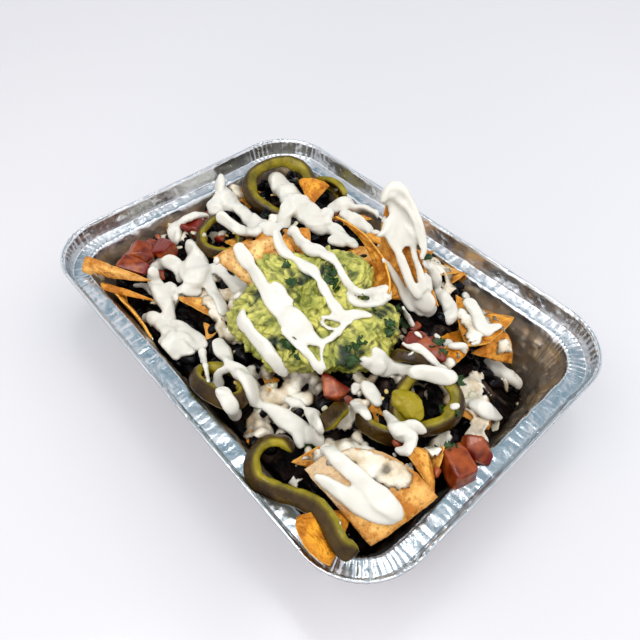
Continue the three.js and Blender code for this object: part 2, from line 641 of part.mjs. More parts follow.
function creamSolid(strokes) {
  return strokes.map((places) => toSolid(creamStroke(places))).reduce((sum, stroke) => sum.add(stroke));
}

// ---------------------------------------------------------------- colours

function finish(colour, roughness, metalness = 0) {
  return new THREE.MeshStandardMaterial({ color: colour, roughness, metalness });
}

const FOIL_METAL = () => finish(0xc9ced6, 0.35, 1);
const BEANS = () => finish(0x3a2a2c, 0.5);
const CORN = () => finish(0xd9a055, 0.7);
const GREEN_PEPPER = () => finish(0x7a742a, 0.25);
const TOMATO = () => finish(0xb5472b, 0.3);
const AVOCADO = () => finish(0xa3a94f, 0.5);
const CREAM_WHITE = () => finish(0xf7f5ef, 0.3);

// ---------------------------------------------------------------- building the dish

const dish = new THREE.Group();
const placed = []; // the grown copy of every piece so far, which later pieces are cut round

// Cuts a piece round what is there already, adds it to the dish and keeps its grown copy.
function lay(name, solid, grown, material) {
  let rest = solid;
  placed.forEach((blocker) => {
    if (boxesMeet(rest.boundingBox(), blocker.boundingBox())) {
      rest = rest.subtract(blocker);
    }
  });
  const mesh = new THREE.Mesh(toGeometry(biggestBody(rest)), material);
  mesh.name = name;
  dish.add(mesh);
  placed.push(grown);
}

function boxesMeet(first, second) {
  return [0, 1, 2].every((axis) =>
    first.min[axis] <= second.max[axis] && second.min[axis] <= first.max[axis]);
}

// Lays every piece of a table with the function that makes its shape.
function layAll(table, shape, material) {
  Object.entries(table).forEach(([name, sizes]) => {
    lay(name, toSolid(shape(sizes)), toSolid(shape(sizes, GAP)), material());
  });
}

lay('tray', toSolid(trayShell()), toSolid(trayShell(GAP)), FOIL_METAL());
layAll(CHIPS, chipShell, CORN);
layAll(TOMATOES, tomatoDice, TOMATO);
layAll(JALAPENO_RINGS, jalapenoRing, GREEN_PEPPER);
layAll(JALAPENO_STRIPS, jalapenoStrip, GREEN_PEPPER);
lay('guacamole', toSolid(guacamoleMound()), toSolid(guacamoleMound(GAP)), AVOCADO());
lay('bean_and_cheese_heap', toSolid(bedSolid()), toSolid(bedSolid(GAP)), BEANS());
Object.entries(CREAM).forEach(([name, strokes]) => {
  const solid = creamSolid(strokes);
  lay(name, solid, solid, CREAM_WHITE());
});

export default dish;
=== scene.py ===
# %% [markdown]
# # Loaded nachos in a foil tray
# A pressed foil tray holds a heap of tortilla chips, black beans, melted cheese, jalapeno rings,
# tomato and a mound of guacamole, with sour cream poured over everything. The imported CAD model
# says where each piece is. This script gives every piece its real surface: each one is worked out
# with numpy as a grid of points, and gets a material made of nodes.

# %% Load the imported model
from functools import partial
import bpy
import numpy as np
from mathutils import Matrix


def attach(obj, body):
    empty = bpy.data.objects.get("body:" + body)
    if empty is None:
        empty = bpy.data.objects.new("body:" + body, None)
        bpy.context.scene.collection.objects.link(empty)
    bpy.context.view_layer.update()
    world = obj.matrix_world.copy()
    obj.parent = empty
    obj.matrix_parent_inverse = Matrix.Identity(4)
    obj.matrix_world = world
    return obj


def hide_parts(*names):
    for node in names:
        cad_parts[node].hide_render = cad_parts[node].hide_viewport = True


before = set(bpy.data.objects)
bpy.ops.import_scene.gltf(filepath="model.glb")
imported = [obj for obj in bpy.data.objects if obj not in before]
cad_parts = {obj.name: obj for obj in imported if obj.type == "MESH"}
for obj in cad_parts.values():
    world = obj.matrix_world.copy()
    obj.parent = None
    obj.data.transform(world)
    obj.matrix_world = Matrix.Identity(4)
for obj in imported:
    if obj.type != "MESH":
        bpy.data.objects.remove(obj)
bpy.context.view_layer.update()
MM = 0.001

# %% [markdown]
# ## Camera
# The camera looks down on the tray from its front corner. Its place and its three axes come from the
# tray's rim, which is a rounded rectangle of known size, so they are written as plain numbers.

# %% Camera
CAMERA_PLACE = (125.6, -110.2, 235.7)
CAMERA_RIGHT = (0.66752, 0.74455, 0.00733)
CAMERA_DOWN = (0.57506, -0.50926, -0.64028)
CAMERA_AHEAD = (-0.47299, 0.43162, -0.76810)
CAMERA_LENS = 31.63  # mm, on a sensor 36 mm wide

camera = bpy.data.objects.new("camera", bpy.data.cameras.new("camera"))
bpy.context.scene.collection.objects.link(camera)
camera.data.lens = CAMERA_LENS
camera.data.sensor_width = 36
camera.data.clip_start = 0.01
camera_axes = np.eye(4)
camera_axes[:3, 0] = CAMERA_RIGHT
camera_axes[:3, 1] = -np.array(CAMERA_DOWN)
camera_axes[:3, 2] = -np.array(CAMERA_AHEAD)
camera_axes[:3, 3] = np.array(CAMERA_PLACE) * MM
camera.matrix_world = Matrix(camera_axes.tolist())
bpy.context.scene.camera = camera
print("camera is", round(float(np.linalg.norm(CAMERA_PLACE))), "mm from the middle of the base")

# %% [markdown]
# ## Colours and nodes
# Colours are written as sRGB hex values, as a colour picker shows them. Blender's nodes want linear
# numbers, so one function turns them. A second small function adds a node, sets it up and links it,
# and each material hands it on as `add`, already tied to its own nodes. Where two inputs of a node have
# the same name, numbers pick them: 0 and 1 for sums and products, 2 and 3 for the two numbers that a Mix
# node blends, 6 and 7 for its two colours.

# %% Helpers for materials


def colour(hex_code):
    """An sRGB hex colour as linear red, green, blue and alpha: each channel c becomes
    ((c + 0.055) / 1.055) ** 2.4, or c / 12.92 where it is nearly black."""
    channels = np.array([int(hex_code[i:i + 2], 16) for i in (1, 3, 5)]) / 255
    linear = np.where(channels <= 0.04045, channels / 12.92, ((channels + 0.055) / 1.055) ** 2.4)
    return (*linear.tolist(), 1.0)


def fill_inputs(node, inputs):
    """Fills each named input of a node with a value or with a link. A whole node stands for its first
    output that is in use."""
    for key, value in inputs.items():
        if isinstance(value, bpy.types.Node):
            value = next(output for output in value.outputs if output.enabled)
        if isinstance(value, bpy.types.NodeSocket):
            node.id_data.links.new(value, node.inputs[key])
        else:
            node.inputs[key].default_value = value


def add_node(tree, kind, inputs=None, **settings):
    """Adds a node of a kind, sets its own settings, then fills its inputs."""
    node = tree.nodes.new("ShaderNode" + kind)
    for key, value in settings.items():
        setattr(node, key, value)
    fill_inputs(node, inputs or {})
    return node


def new_material(name):
    """A node material, the function that adds nodes to it, its shader, and the place of each point in the
    object."""
    material = bpy.data.materials.new(name)
    material.use_nodes = True
    material.node_tree.nodes.clear()
    add = partial(add_node, material.node_tree)
    shader = add("BsdfPrincipled")
    add("OutputMaterial", {"Surface": shader})
    place = add("TexCoord").outputs["Object"]
    print("material:", name)
    return material, add, shader, place


def grains(size_mm):
    """A noise texture's scale for lumps of a real size in mm: one lump is half a turn of the pattern."""
    return 1 / (size_mm * MM * 2)


# %% [markdown]
# ## Floor, light and sky
# A plain pale table and three soft lights: a broad one high at the far right, a small one overhead and
# a fill from the front. Foil mirrors whatever is round it. So the broad lamp is kept out of mirror
# reflections, where it would burn the foil out, and the sky isn't one flat white: a patch of pale
# blue-grey stands behind the tray, as a window would.

# %% Floor, light and sky
scene = bpy.context.scene
scene.view_settings.view_transform = "Standard"
scene.view_settings.look = "Medium High Contrast"

floor_material, add, shader, place = new_material("pale_lacquered_table")
fill_inputs(shader, {"Base Color": colour("#d0cecf"), "Roughness": 0.22})
floor_mesh = bpy.data.meshes.new("floor")
FLOOR_REACH = 4  # metres to each side
FLOOR_DROP = 0.0002  # metres below the base, so that the two never lie in one plane
floor_corners = [(x * FLOOR_REACH, y * FLOOR_REACH, -FLOOR_DROP)
                 for x, y in ((-1, -1), (1, -1), (1, 1), (-1, 1))]
floor_mesh.from_pydata(floor_corners, [], [(0, 1, 2, 3)])
floor_mesh.materials.append(floor_material)
floor = bpy.data.objects.new("floor", floor_mesh)
scene.collection.objects.link(floor)

world = bpy.data.worlds.new("pale_sky")
scene.world = world
world.use_nodes = True
world.node_tree.nodes.clear()
add = partial(add_node, world.node_tree)
SKY_BLUE_TOWARDS = (-0.378, 0.450, 0.809)
BLUE_STARTS, BLUE_FULL = 0.84, 0.92  # cosines of the angles from the middle of the blue patch
way = add("TexCoord").outputs["Generated"]
towards_blue = add("VectorMath", {0: way, 1: SKY_BLUE_TOWARDS}, operation="DOT_PRODUCT")
blue_part = add("MapRange", {"Value": towards_blue, "From Min": BLUE_STARTS, "From Max": BLUE_FULL})
sky = add("Mix", {"Factor": blue_part, 6: colour("#f6f6fa"), 7: colour("#7d9aa9")}, data_type="RGBA")
background = add("Background", {"Color": sky, "Strength": 1.0})
add("OutputWorld", {"Surface": background})


LIGHT_AIM = (0, 0, 40)  # mm


def soft_light(name, place_mm, size_mm, watts, mirrored=True):
    """A square area light at a place, its own -Z axis turned to the aim, with or without mirror images."""
    light = bpy.data.lights.new(name, "AREA")
    light.energy = watts
    light.size = size_mm * MM
    lamp = bpy.data.objects.new(name, light)
    scene.collection.objects.link(lamp)
    lamp.visible_glossy = mirrored
    back = np.array(place_mm, float) - np.array(LIGHT_AIM, float)
    back /= np.linalg.norm(back)
    side = np.cross((0, 0, 1), back)
    side /= np.linalg.norm(side)
    axes = np.eye(4)
    axes[:3] = np.stack([side, np.cross(back, side), back, np.array(place_mm) * MM], -1)
    lamp.matrix_world = Matrix(axes.tolist())


soft_light("key_light", (230, 170, 680), 620, 1.7, mirrored=False)
soft_light("top_light", (-30, 60, 700), 140, 0.5)
soft_light("front_light", (0, -300, 560), 300, 0.8)

# %% [markdown]
# ## Meshes from arrays
# Nearly every shape here is a grid that wraps round like a barrel and is closed at both ends by a
# fan of triangles. The functions below number the faces of such a grid, turn them to point outwards,
# and put points and faces into a mesh. Lengths are in millimetres until the mesh is made.

# %% Helpers for meshes


def grid_faces(rows, columns, wrap=True):
    """The four-sided faces of a grid of points numbered row by row. Wrap joins the last column to the
    first."""
    across = np.arange(columns if wrap else columns - 1)
    row, column = np.meshgrid(np.arange(rows - 1), across, indexing="ij")
    right = (column + 1) % columns
    here, above = row * columns, (row + 1) * columns
    return np.stack([here + column, here + right, above + right, above + column], -1).reshape(-1, 4)


def closed_faces(rows, columns):
    """The faces of a barrel-shaped grid and the two fans that close it. The two poles come after the
    grid's points."""
    here = np.arange(columns)
    there = (here + 1) % columns
    end = (rows - 1) * columns
    first = np.full(columns, rows * columns)
    near_fan = np.stack([first, there, here], -1)
    far_fan = np.stack([first + 1, end + here, end + there], -1)
    return [grid_faces(rows, columns), near_fan, far_fan]


def faced_out(points, faces):
    """Turns the faces over if the volume they enclose is negative: the sum of a . (b x c) over their
    triangles."""
    volume = 0
    for group in faces:
        a = points[group[:, 0]]
        for k in range(1, group.shape[1] - 1):
            volume += (a * np.cross(points[group[:, k]], points[group[:, k + 1]])).sum()
    return points, faces if volume > 0 else [group[:, ::-1] for group in faces]


def barrel(grid, poles):
    """A closed shape from rows x columns x 3 points and its two pole points."""
    points = np.concatenate([grid.reshape(-1, 3), np.array(poles, float)])
    return faced_out(points, closed_faces(*grid.shape[:2]))


def joined(shapes):
    """Several shapes as one: the points one after another, and the faces with their numbers moved on."""
    points, faces, start = [], [], 0
    for shape_points, shape_faces in shapes:
        points.append(shape_points)
        faces += [group + start for group in shape_faces]
        start += len(shape_points)
    return np.concatenate(points), faces


def scattered(shape, places, sizes, turns):
    """Copies of one shape, all at once: each is scaled along its own axes, turned and moved."""
    points, faces = shape
    places = np.asarray(places, float)
    sizes = np.broadcast_to(np.asarray(sizes, float), (len(places), 3))
    copies = np.einsum("cij,cpj->cpi", turns, points[None] * sizes[:, None]) + places[:, None]
    starts = np.arange(len(places))[:, None, None] * len(points)
    return copies.reshape(-1, 3), [(group[None] + starts).reshape(-1, group.shape[1]) for group in faces]


def about(axis, angle):
    """The matrices that turn by an angle, or by many, about axis 0, 1 or 2, which are X, Y and Z."""
    second, third = (axis + 1) % 3, (axis + 2) % 3
    turn = np.zeros((*np.shape(angle), 3, 3))
    turn[..., axis, axis] = 1
    turn[..., second, second] = turn[..., third, third] = np.cos(angle)
    turn[..., third, second] = np.sin(angle)
    turn[..., second, third] = -np.sin(angle)
    return turn


def random_turns(count, rng, tilt):
    """Turning matrices: a free turn about Z, a tilt of up to so many radians about X, and a free turn about
    Z again, which sets the way it tilts."""
    spin = rng.uniform(0, 2 * np.pi, count)
    lean = rng.uniform(-tilt, tilt, count)
    way = rng.uniform(0, 2 * np.pi, count)
    return about(2, way) @ about(0, lean) @ about(2, spin)


def unit(vectors):
    """Vectors made 1 long, each divided by its own length."""
    return vectors / np.linalg.norm(vectors, axis=-1, keepdims=True)


def power(values, exponent):
    """The size of each value raised to a power, with its sign kept."""
    return np.sign(values) * np.abs(values) ** exponent


def unit_ball(rows, columns, squareness=1):
    """A ball of radius 1: rows go from pole to pole, columns round it. Its sines and cosines are raised to
    a power, and a power below 1 makes it a box with round edges."""
    polar = (np.arange(rows) + 1)[:, None] / (rows + 1) * np.pi
    angle = np.arange(columns)[None] / columns * 2 * np.pi
    ring, level = power(np.sin(polar), squareness), power(np.cos(polar), squareness)
    x, y = power(np.cos(angle), squareness), power(np.sin(angle), squareness)
    return barrel(np.stack([ring * x, ring * y, level + 0 * angle], -1), [(0, 0, 1), (0, 0, -1)])


def noise(points, size_mm, seed=0):
    """Smooth random values from -1 to 1 that change over about size_mm: random numbers on the corners of
    a cubic lattice, blended between the corners with the smooth step 3t^2 - 2t^3."""
    lattice = np.random.default_rng(seed).uniform(-1, 1, (24, 24, 24))
    spot = np.asarray(points, float) / size_mm + 500.0
    cell = np.floor(spot).astype(int)
    blend = spot - cell
    blend = blend * blend * (3 - 2 * blend)
    value = 0
    for corner in np.ndindex(2, 2, 2):
        weight = np.where(corner, blend, 1 - blend).prod(-1)
        i, j, k = np.moveaxis((cell + corner) % 24, -1, 0)
        value = value + weight * lattice[i, j, k]
    return value


def relief(points, *waves):
    """A sum of noises, each given as its height, its size in mm and its seed."""
    return sum(height * noise(points, size_mm, seed) for height, size_mm, seed in waves)


def lumps(points, size_mm, seed=0):
    """Round lumps with sharp creases between them, 0 to about 1: 1.6 times the noise without its sign."""
    return np.abs(noise(points, size_mm, seed)) * 1.6


def chunks(points, size_mm, seed=0):
    """Chunks of about size_mm. Every cell of a lattice holds one random middle, and a point belongs to the
    chunk whose middle is nearest. Returns how much nearer that is than the next one, which is 0 at the
    cracks, and the chunk's own level: a random number plus a random slope times the way from its middle."""
    rng = np.random.default_rng(seed)
    middle, level, slope = (rng.uniform(low, high, (16, 16, 16, 3))
                            for low, high in ((0.1, 0.9), (-1, 1), (-1, 1)))
    spot = np.asarray(points, float) / size_mm + 160.0
    cell = np.floor(spot).astype(int)
    first, second = np.full((2, *spot.shape[:-1]), 9.0)
    height = np.zeros(spot.shape[:-1])
    for step in np.ndindex(3, 3, 3):
        near = cell + step - 1
        i, j, k = np.moveaxis(near % 16, -1, 0)
        away = spot - near - middle[i, j, k]
        distance = np.linalg.norm(away, axis=-1)
        second = np.minimum(second, np.maximum(first, distance))
        height = np.where(distance < first, level[i, j, k, 0] + (away * slope[i, j, k]).sum(-1), height)
        first = np.minimum(first, distance)
    return second - first, height


def smooth_step(low, high, value):
    """0 below low, 1 above high, and 3t^2 - 2t^3 between them."""
    t = np.clip((value - low) / (high - low), 0, 1)
    return t * t * (3 - 2 * t)


made = []


def make_piece(name, shape, material, replaces=(), slot=None, food=True, **attributes):
    """A mesh object at the origin from a shape in mm, with float attributes on its points. It rides on
    the tray, and food stays inside the tray's wall."""
    points, faces = shape
    if food:
        points = kept_inside(points)
    mesh = bpy.data.meshes.new(name)
    mesh.from_pydata((points * MM).tolist(), [], [face for group in faces for face in group.tolist()])
    for key, values in attributes.items():
        mesh.attributes.new(key, "FLOAT", "POINT").data.foreach_set("value", np.asarray(values, np.float32))
    mesh.polygons.foreach_set("use_smooth", np.full(len(mesh.polygons), True))
    mesh.materials.append(material)
    mesh.update()
    piece = bpy.data.objects.new(name, mesh)
    scene.collection.objects.link(piece)
    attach(piece, "root")
    if replaces:
        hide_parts(*replaces)
    made.append(piece)
    return piece


def with_modifiers(piece, *modifiers):
    """Adds modifiers, each a kind and its settings, and makes their result the piece's mesh."""
    for kind, settings in modifiers:
        modifier = piece.modifiers.new(kind.lower(), kind)
        for key, value in settings.items():
            setattr(modifier, key, value)
    result = bpy.data.meshes.new_from_object(piece.evaluated_get(bpy.context.evaluated_depsgraph_get()))
    piece.modifiers.clear()
    piece.data = result


def points_of(piece):
    """The points of a piece's mesh in mm, as an array."""
    place = np.zeros(len(piece.data.vertices) * 3, np.float32)
    piece.data.vertices.foreach_get("co", place)
    return place.reshape(-1, 3).astype(float) / MM


def triangle_count(piece):
    """How many triangles the piece's faces come to."""
    return sum(len(face.vertices) - 2 for face in piece.data.polygons)


# %% [markdown]
# ## The foil tray
# A tray like this is pressed from one sheet of thin aluminium: flat floor, sloping wall, a flat ledge,
# and an upright lip whose edge is rolled outwards. The sheet has no seam, so one profile is carried
# round the tray's outline. Pressing leaves the foil no smooth surface at all. It gathers into pleats
# in the four corners, gets small ribs across the ledge, and is dented all over the wall.

# %% The outline of the tray
RIM_LENGTH, RIM_WIDTH, RIM_RADIUS = 214, 152, 27
LEDGE_HEIGHT, LEDGE_WIDTH, LIP_HEIGHT, LIP_FLARE = 46, 7, 8.5, 2.5
WALL_TAPER, FLOOR_ROUND, FOIL = 12, 5, 0.6
LEAST_RADIUS = 9
CORNER_FADE = 14  # mm along a side over which the corner's pleats die out


def rounded(inset):
    """The rim's rounded rectangle, moved in by an inset: the radius of its corners, and how far the
    middles of the corners' arcs are from the tray's middle in x and y."""
    radius = np.maximum(RIM_RADIUS - inset, LEAST_RADIUS)
    return radius, np.stack([RIM_LENGTH / 2 - inset - radius, RIM_WIDTH / 2 - inset - radius], -1)


class Outline:
    """A rounded rectangle with points close together. Each column of points lies on a corner's arc, or a
    part of the way along a side from one arc to the next."""

    def __init__(self, corner_steps, spacing):
        signs = np.array([(1, 1), (-1, 1), (-1, -1), (1, -1)])
        start, end, angle, part, corner = [], [], [], [], []
        for quarter in range(4):
            steps = np.arange(corner_steps) / corner_steps
            side = (RIM_LENGTH if quarter % 2 == 0 else RIM_WIDTH) - 2 * RIM_RADIUS
            along = np.arange(round(side / spacing)) / round(side / spacing)
            start += [quarter] * (len(steps) + len(along))
            end += [quarter] * len(steps) + [(quarter + 1) % 4] * len(along)
            angle += [*((quarter + steps) * np.pi / 2), *np.full(len(along), (quarter + 1) * np.pi / 2)]
            part += [*(0 * steps), *along]
            reach = np.minimum(along, 1 - along) * side
            corner += [*(0 * steps + 1), *(1 - smooth_step(0, CORNER_FADE, reach))]
        self.start, self.end, self.angle = signs[start], signs[end], np.array(angle)
        self.part, self.corner = np.array(part), np.array(corner)
        lip = self.at(np.zeros(len(part)))
        self.along = np.concatenate([[0], np.cumsum(np.linalg.norm(np.diff(lip, axis=0), axis=1))])
        self.columns = len(part)

    def at(self, inset):
        """The outline moved in by an inset, which may differ from column to column: x and y of each one."""
        radius, half = rounded(inset)
        way = radius[..., None] * np.stack([np.cos(self.angle), np.sin(self.angle)], -1)
        at_start, at_end = self.start * half + way, self.end * half + way
        return at_start + (at_end - at_start) * self.part[:, None]


tray_outline = Outline(corner_steps=56, spacing=0.95)
print("points round the tray:", tray_outline.columns)

# %% The foil sheet
LEDGE_INSET = LIP_FLARE + LEDGE_WIDTH
FLOOR_INSET = LEDGE_INSET + WALL_TAPER
PLEAT_WIDTH = 2.9  # mm between pleats, measured along the lip's corners
HEM_RADIUS = 0.75  # mm


def foil_profile():
    """The sheet's profile from the floor's edge to the end of the rolled hem, as inset from the lip and
    height, and how much of each kind of relief it takes: wall dents, ledge ribs and corner pleats."""
    wall_part = np.linspace(0, 1, 22)
    foot, top = np.array([[FLOOR_INSET - 0.6, 5.6], [LEDGE_INSET + 0.6, LEDGE_HEIGHT - 0.9]])
    wall = foot + (top - foot) * wall_part[:, None]
    ledge_part = np.linspace(0, 1, 12)
    ledge = np.stack([LEDGE_INSET - 0.3 - (LEDGE_WIDTH - 0.9) * ledge_part,
                      LEDGE_HEIGHT + 0 * ledge_part], -1)
    lip_part = np.linspace(0.1, 1, 9)
    lip = np.stack([LIP_FLARE + 0.3 - (LIP_FLARE - 0.6) * lip_part,
                    LEDGE_HEIGHT + (LIP_HEIGHT - 0.9) * lip_part], -1)
    turn = np.radians(np.linspace(150, -130, 9))
    hem = np.stack([1.3 - 0.62 - HEM_RADIUS * np.cos(np.pi - turn) - 0.25,
                    LEDGE_HEIGHT + LIP_HEIGHT - HEM_RADIUS + HEM_RADIUS * np.sin(turn)], -1)
    foot_curve = np.array([[FLOOR_INSET + FLOOR_ROUND, 0.6], [FLOOR_INSET + 2.4, 0.9],
                           [FLOOR_INSET + 0.5, 2.6]])
    crease = np.array([[LEDGE_INSET + 0.2, LEDGE_HEIGHT - 0.25]])
    profile = np.concatenate([foot_curve, wall, crease, ledge, lip, hem])
    at_foot, at_wall, at_ledge, at_lip, at_hem = map(np.ones, map(len, (foot_curve, wall, ledge, lip, hem)))
    dents = np.concatenate([0.15 * at_foot, 0.4 + 1.5 * np.sin(wall_part * np.pi) ** 0.5, [0.2],
                            0.12 * at_ledge, 0.3 * at_lip, 0.1 * at_hem])
    ribs = np.concatenate([0 * at_foot, 0 * at_wall, [0], np.sin(np.pi * (0.08 + 0.84 * ledge_part)) ** 0.6,
                           0.3 * (1 - lip_part), 0 * at_hem])
    pleats = np.concatenate([0.1 * at_foot, 0.15 + 0.6 * wall_part ** 2, [0.7], 0.75 + 0.1 * ledge_part,
                             at_lip, 0.55 * at_hem])
    return profile, dents, ribs, pleats


def rib_heights(along, rng):
    """Small ribs at uneven distances along the outline: a sum of narrow bells, some up and some down."""
    length = along[-1]
    spots = np.cumsum(rng.uniform(2.6, 6.5, 400))
    spots = spots[spots < length]
    width, height = rng.uniform(0.4, 0.85, len(spots)), rng.uniform(0.18, 0.5, len(spots))
    height *= np.where(rng.random(len(spots)) < 0.8, 1, -0.7)
    return (height * np.exp(-((along[:, None] - spots) / width) ** 2)).sum(1)


def foil_sheet(outline):
    """The profile carried round the outline. Each point is moved along the profile's own normal by the
    dents, ribs and pleats, and the floor inside the profile is drawn in towards the middle."""
    rng = np.random.default_rng(11)
    profile, dents, ribs, pleats = foil_profile()
    tangent = unit(np.gradient(profile, axis=0))
    normal = np.stack([tangent[:, 1], -tangent[:, 0]], -1)
    inset = np.repeat(profile[:, :1], outline.columns, 1)
    height = np.repeat(profile[:, 1:], outline.columns, 1)
    rest = np.concatenate([outline.at(inset), height[..., None]], -1)
    wander = 1.5 * noise(np.stack([outline.along, 0 * outline.along, 0 * outline.along], -1), 9, 5)
    fold = np.abs(np.sin(np.pi * outline.along / PLEAT_WIDTH + wander)) ** 0.7 - 0.6
    strength = 0.62 + 0.4 * noise(np.stack([outline.along] * 3, -1), 6, 8)
    move = pleats[:, None] * outline.corner * fold * strength * 0.75
    move = move + ribs[:, None] * rib_heights(outline.along, rng) * (1 - 0.6 * outline.corner)
    crumple = 1.3 * np.abs(noise(rest * (1, 1, 1.3), 7, 1)) + 0.34 * noise(rest * (1, 1, 1.2), 2.6, 2)
    crumple = crumple + 0.6 * noise(rest * (1, 1, 2.4), 11, 3) + 0.2 * noise(rest, 1.4, 7)
    move = move + dents[:, None] * np.clip(crumple - 0.35, -1, 1)
    move = move + (profile[:, 1] > LEDGE_HEIGHT + 0.5)[:, None] * 0.3 * noise(rest * (1, 1, 0.2), 16, 4)
    inset = inset + move * normal[:, :1]
    height = height + move * normal[:, 1:]
    height[0] = FOIL
    sheet = np.concatenate([outline.at(inset), height[..., None]], -1)
    shares = np.array([0.03, 0.25, 0.5, 0.75, 0.92])[:, None, None]
    inside = sheet[0][None] * np.concatenate([shares, shares, 0 * shares + 1], -1)
    inside[..., 2] = FOIL + 0.12 * noise(inside, 6, 6)
    return np.concatenate([inside, sheet])


def open_sheet(grid, middle):
    """A sheet from a grid that wraps round, closed in the middle by a fan round one point."""
    points = np.concatenate([grid.reshape(-1, 3), np.array([middle], float)])
    return points, closed_faces(*grid.shape[:2])[:2]


# %% Aluminium foil
# Bright metal with a soft rolled finish. Fine creases, far smaller than the pressed pleats, break up
# what it mirrors.
foil_metal, add, shader, place = new_material("pressed_aluminium_foil")
creases = add("TexNoise", {"Vector": place, "Scale": grains(1.1), "Detail": 3, "Roughness": 0.6})
waves = add("TexNoise", {"Vector": place, "Scale": grains(4.0), "Detail": 2})
crease_bump = add("Bump", {"Strength": 0.3, "Distance": 0.0006, "Height": creases})
wave_bump = add("Bump", {"Strength": 0.6, "Distance": 0.0018, "Height": waves, "Normal": crease_bump})
dull = add("MapRange", {"Value": waves, "To Min": 0.18, "To Max": 0.4})
# A dull tan film painted on the wall's inner side: a painted reflection of the warm food that this side
# faces. The inner side is where the surface looks towards the middle, so where its normal goes against the
# way out from the middle.
outwards = add("VectorMath", {0: place, 1: (1, 1, 0)}, operation="MULTIPLY")
facing = add("VectorMath", {0: add("NewGeometry").outputs["Normal"], 1: outwards}, operation="DOT_PRODUCT")
inner = add("MapRange", {"Value": facing, "From Min": -0.02, "From Max": -0.04})
level = add("SeparateXYZ", {"Vector": place})
below_ledge = add("MapRange", {"Value": level.outputs["Z"], "From Min": 0.0452, "From Max": 0.042})
film = add("TexNoise", {"Vector": place, "Scale": grains(5), "Detail": 4, "Roughness": 0.6})
film_part = add("MapRange", {"Value": film, "From Min": 0.3, "From Max": 0.62, "To Min": 0.4,
                             "To Max": 0.85})
on_wall = add("Math", {0: inner, 1: below_ledge}, operation="MULTIPLY")
smear = add("Math", {0: on_wall, 1: film_part}, operation="MULTIPLY")
# Painted reflection: the tan stands for the warm food mirrored in the inner wall, and it dulls the metal
# there.
bare_and_smeared = add("Mix", {"Factor": smear, 6: colour("#d9dbdd"), 7: colour("#c9a877")},
                       data_type="RGBA")
metal_part = add("MapRange", {"Value": smear, "To Min": 1.0, "To Max": 0.5})
roughness = add("Mix", {"Factor": smear, 2: dull, 3: 0.3})
fill_inputs(shader, {"Base Color": bare_and_smeared, "Metallic": metal_part, "Roughness": roughness,
                     "Normal": wave_bump})

# %% The tray
DRAWN_THICKNESS = 0.3  # mm, thinner than the CAD's sheet and thicker than real foil
sheet = open_sheet(foil_sheet(tray_outline), (0, 0, FOIL))
tray = make_piece("foil_tray", sheet, foil_metal, ["tray"], "foil", food=False)
with_modifiers(tray, ("SOLIDIFY", {"thickness": DRAWN_THICKNESS * MM, "offset": -1}))
print("foil tray:", triangle_count(tray), "triangles")
print("its box, mm:", points_of(tray).min(0).round(1), points_of(tray).max(0).round(1))

# %% [markdown]
# ## The heap
# Under the toppings lies a heap of chips, refried black beans and cheese. Its bulk is never seen, so
# it is one lumpy core, a little lower than the heap really is. Real beans, chips and cheese are then
# laid over it. The core is coloured near black, partly as dark bean paste and partly as painted shade, so
# the deep gaps between them look dark.

# %% The height of the heap
BED_LEVEL = 39  # mm
# Each mound's middle x and y, its rise and its spread, in mm.
BED_MOUNDS = np.array([
    [10, -4, 12, 44], [76, -36, 8, 20], [20, 44, 10, 28], [64, 4, 8, 22], [-66, -8, 5, 26],
    [-52, 40, 7, 28], [90, 56, -20, 24], [70, 62, -9, 14], [-94, -50, -9, 18], [-60, -60, -9, 12],
    [-34, -52, -4, 12], [30, -62, -3, 12]], float)


def bed_height(x, y):
    """Height of the heap: the level, plus for each mound its rise times exp(-(distance / spread)^2)."""
    x, y = np.asarray(x, float), np.asarray(y, float)
    middle_x, middle_y, rise, spread = BED_MOUNDS.T
    away = ((x[..., None] - middle_x) ** 2 + (y[..., None] - middle_y) ** 2) / spread ** 2
    return BED_LEVEL + (rise * np.exp(-away)).sum(-1)


def wall_inset(z):
    """How far the inside of the sloping wall is from the lip's outline at a height."""
    return LEDGE_INSET + FOIL + WALL_TAPER * (LEDGE_HEIGHT - z) / LEDGE_HEIGHT


WALL_GAP = 2.4  # mm of room for the dents of the foil


def kept_inside(points):
    """Points under the ledge that are beyond the wall, or closer to it than the gap, moved straight back
    to the gap: the way from the middle of the corner's arc is shortened to the radius."""
    z = points[:, 2]
    radius, half = rounded(wall_inset(z) + WALL_GAP * smooth_step(LEDGE_HEIGHT, LEDGE_HEIGHT - 5, z))
    over = np.abs(points[:, :2]) - half
    away = np.linalg.norm(np.maximum(over, 0), axis=1)
    shorter = (radius / np.maximum(away, radius))[:, None]
    moved = np.sign(points[:, :2]) * (half + np.where(over > 0, over * shorter, over))
    beyond = (z < LEDGE_HEIGHT) & (away > radius)
    return np.concatenate([np.where(beyond[:, None], moved, points[:, :2]), z[:, None]], axis=1)


# %% The core of the heap
CORE_BELOW = 3.2  # mm that the core lies under the heap's top
CORE_FOOT = 1.2  # mm from the table to the core's flat foot
LUMP_MEAN = 1.2  # mm, the mean height of the lumps
heap_outline = Outline(corner_steps=24, spacing=1.3)


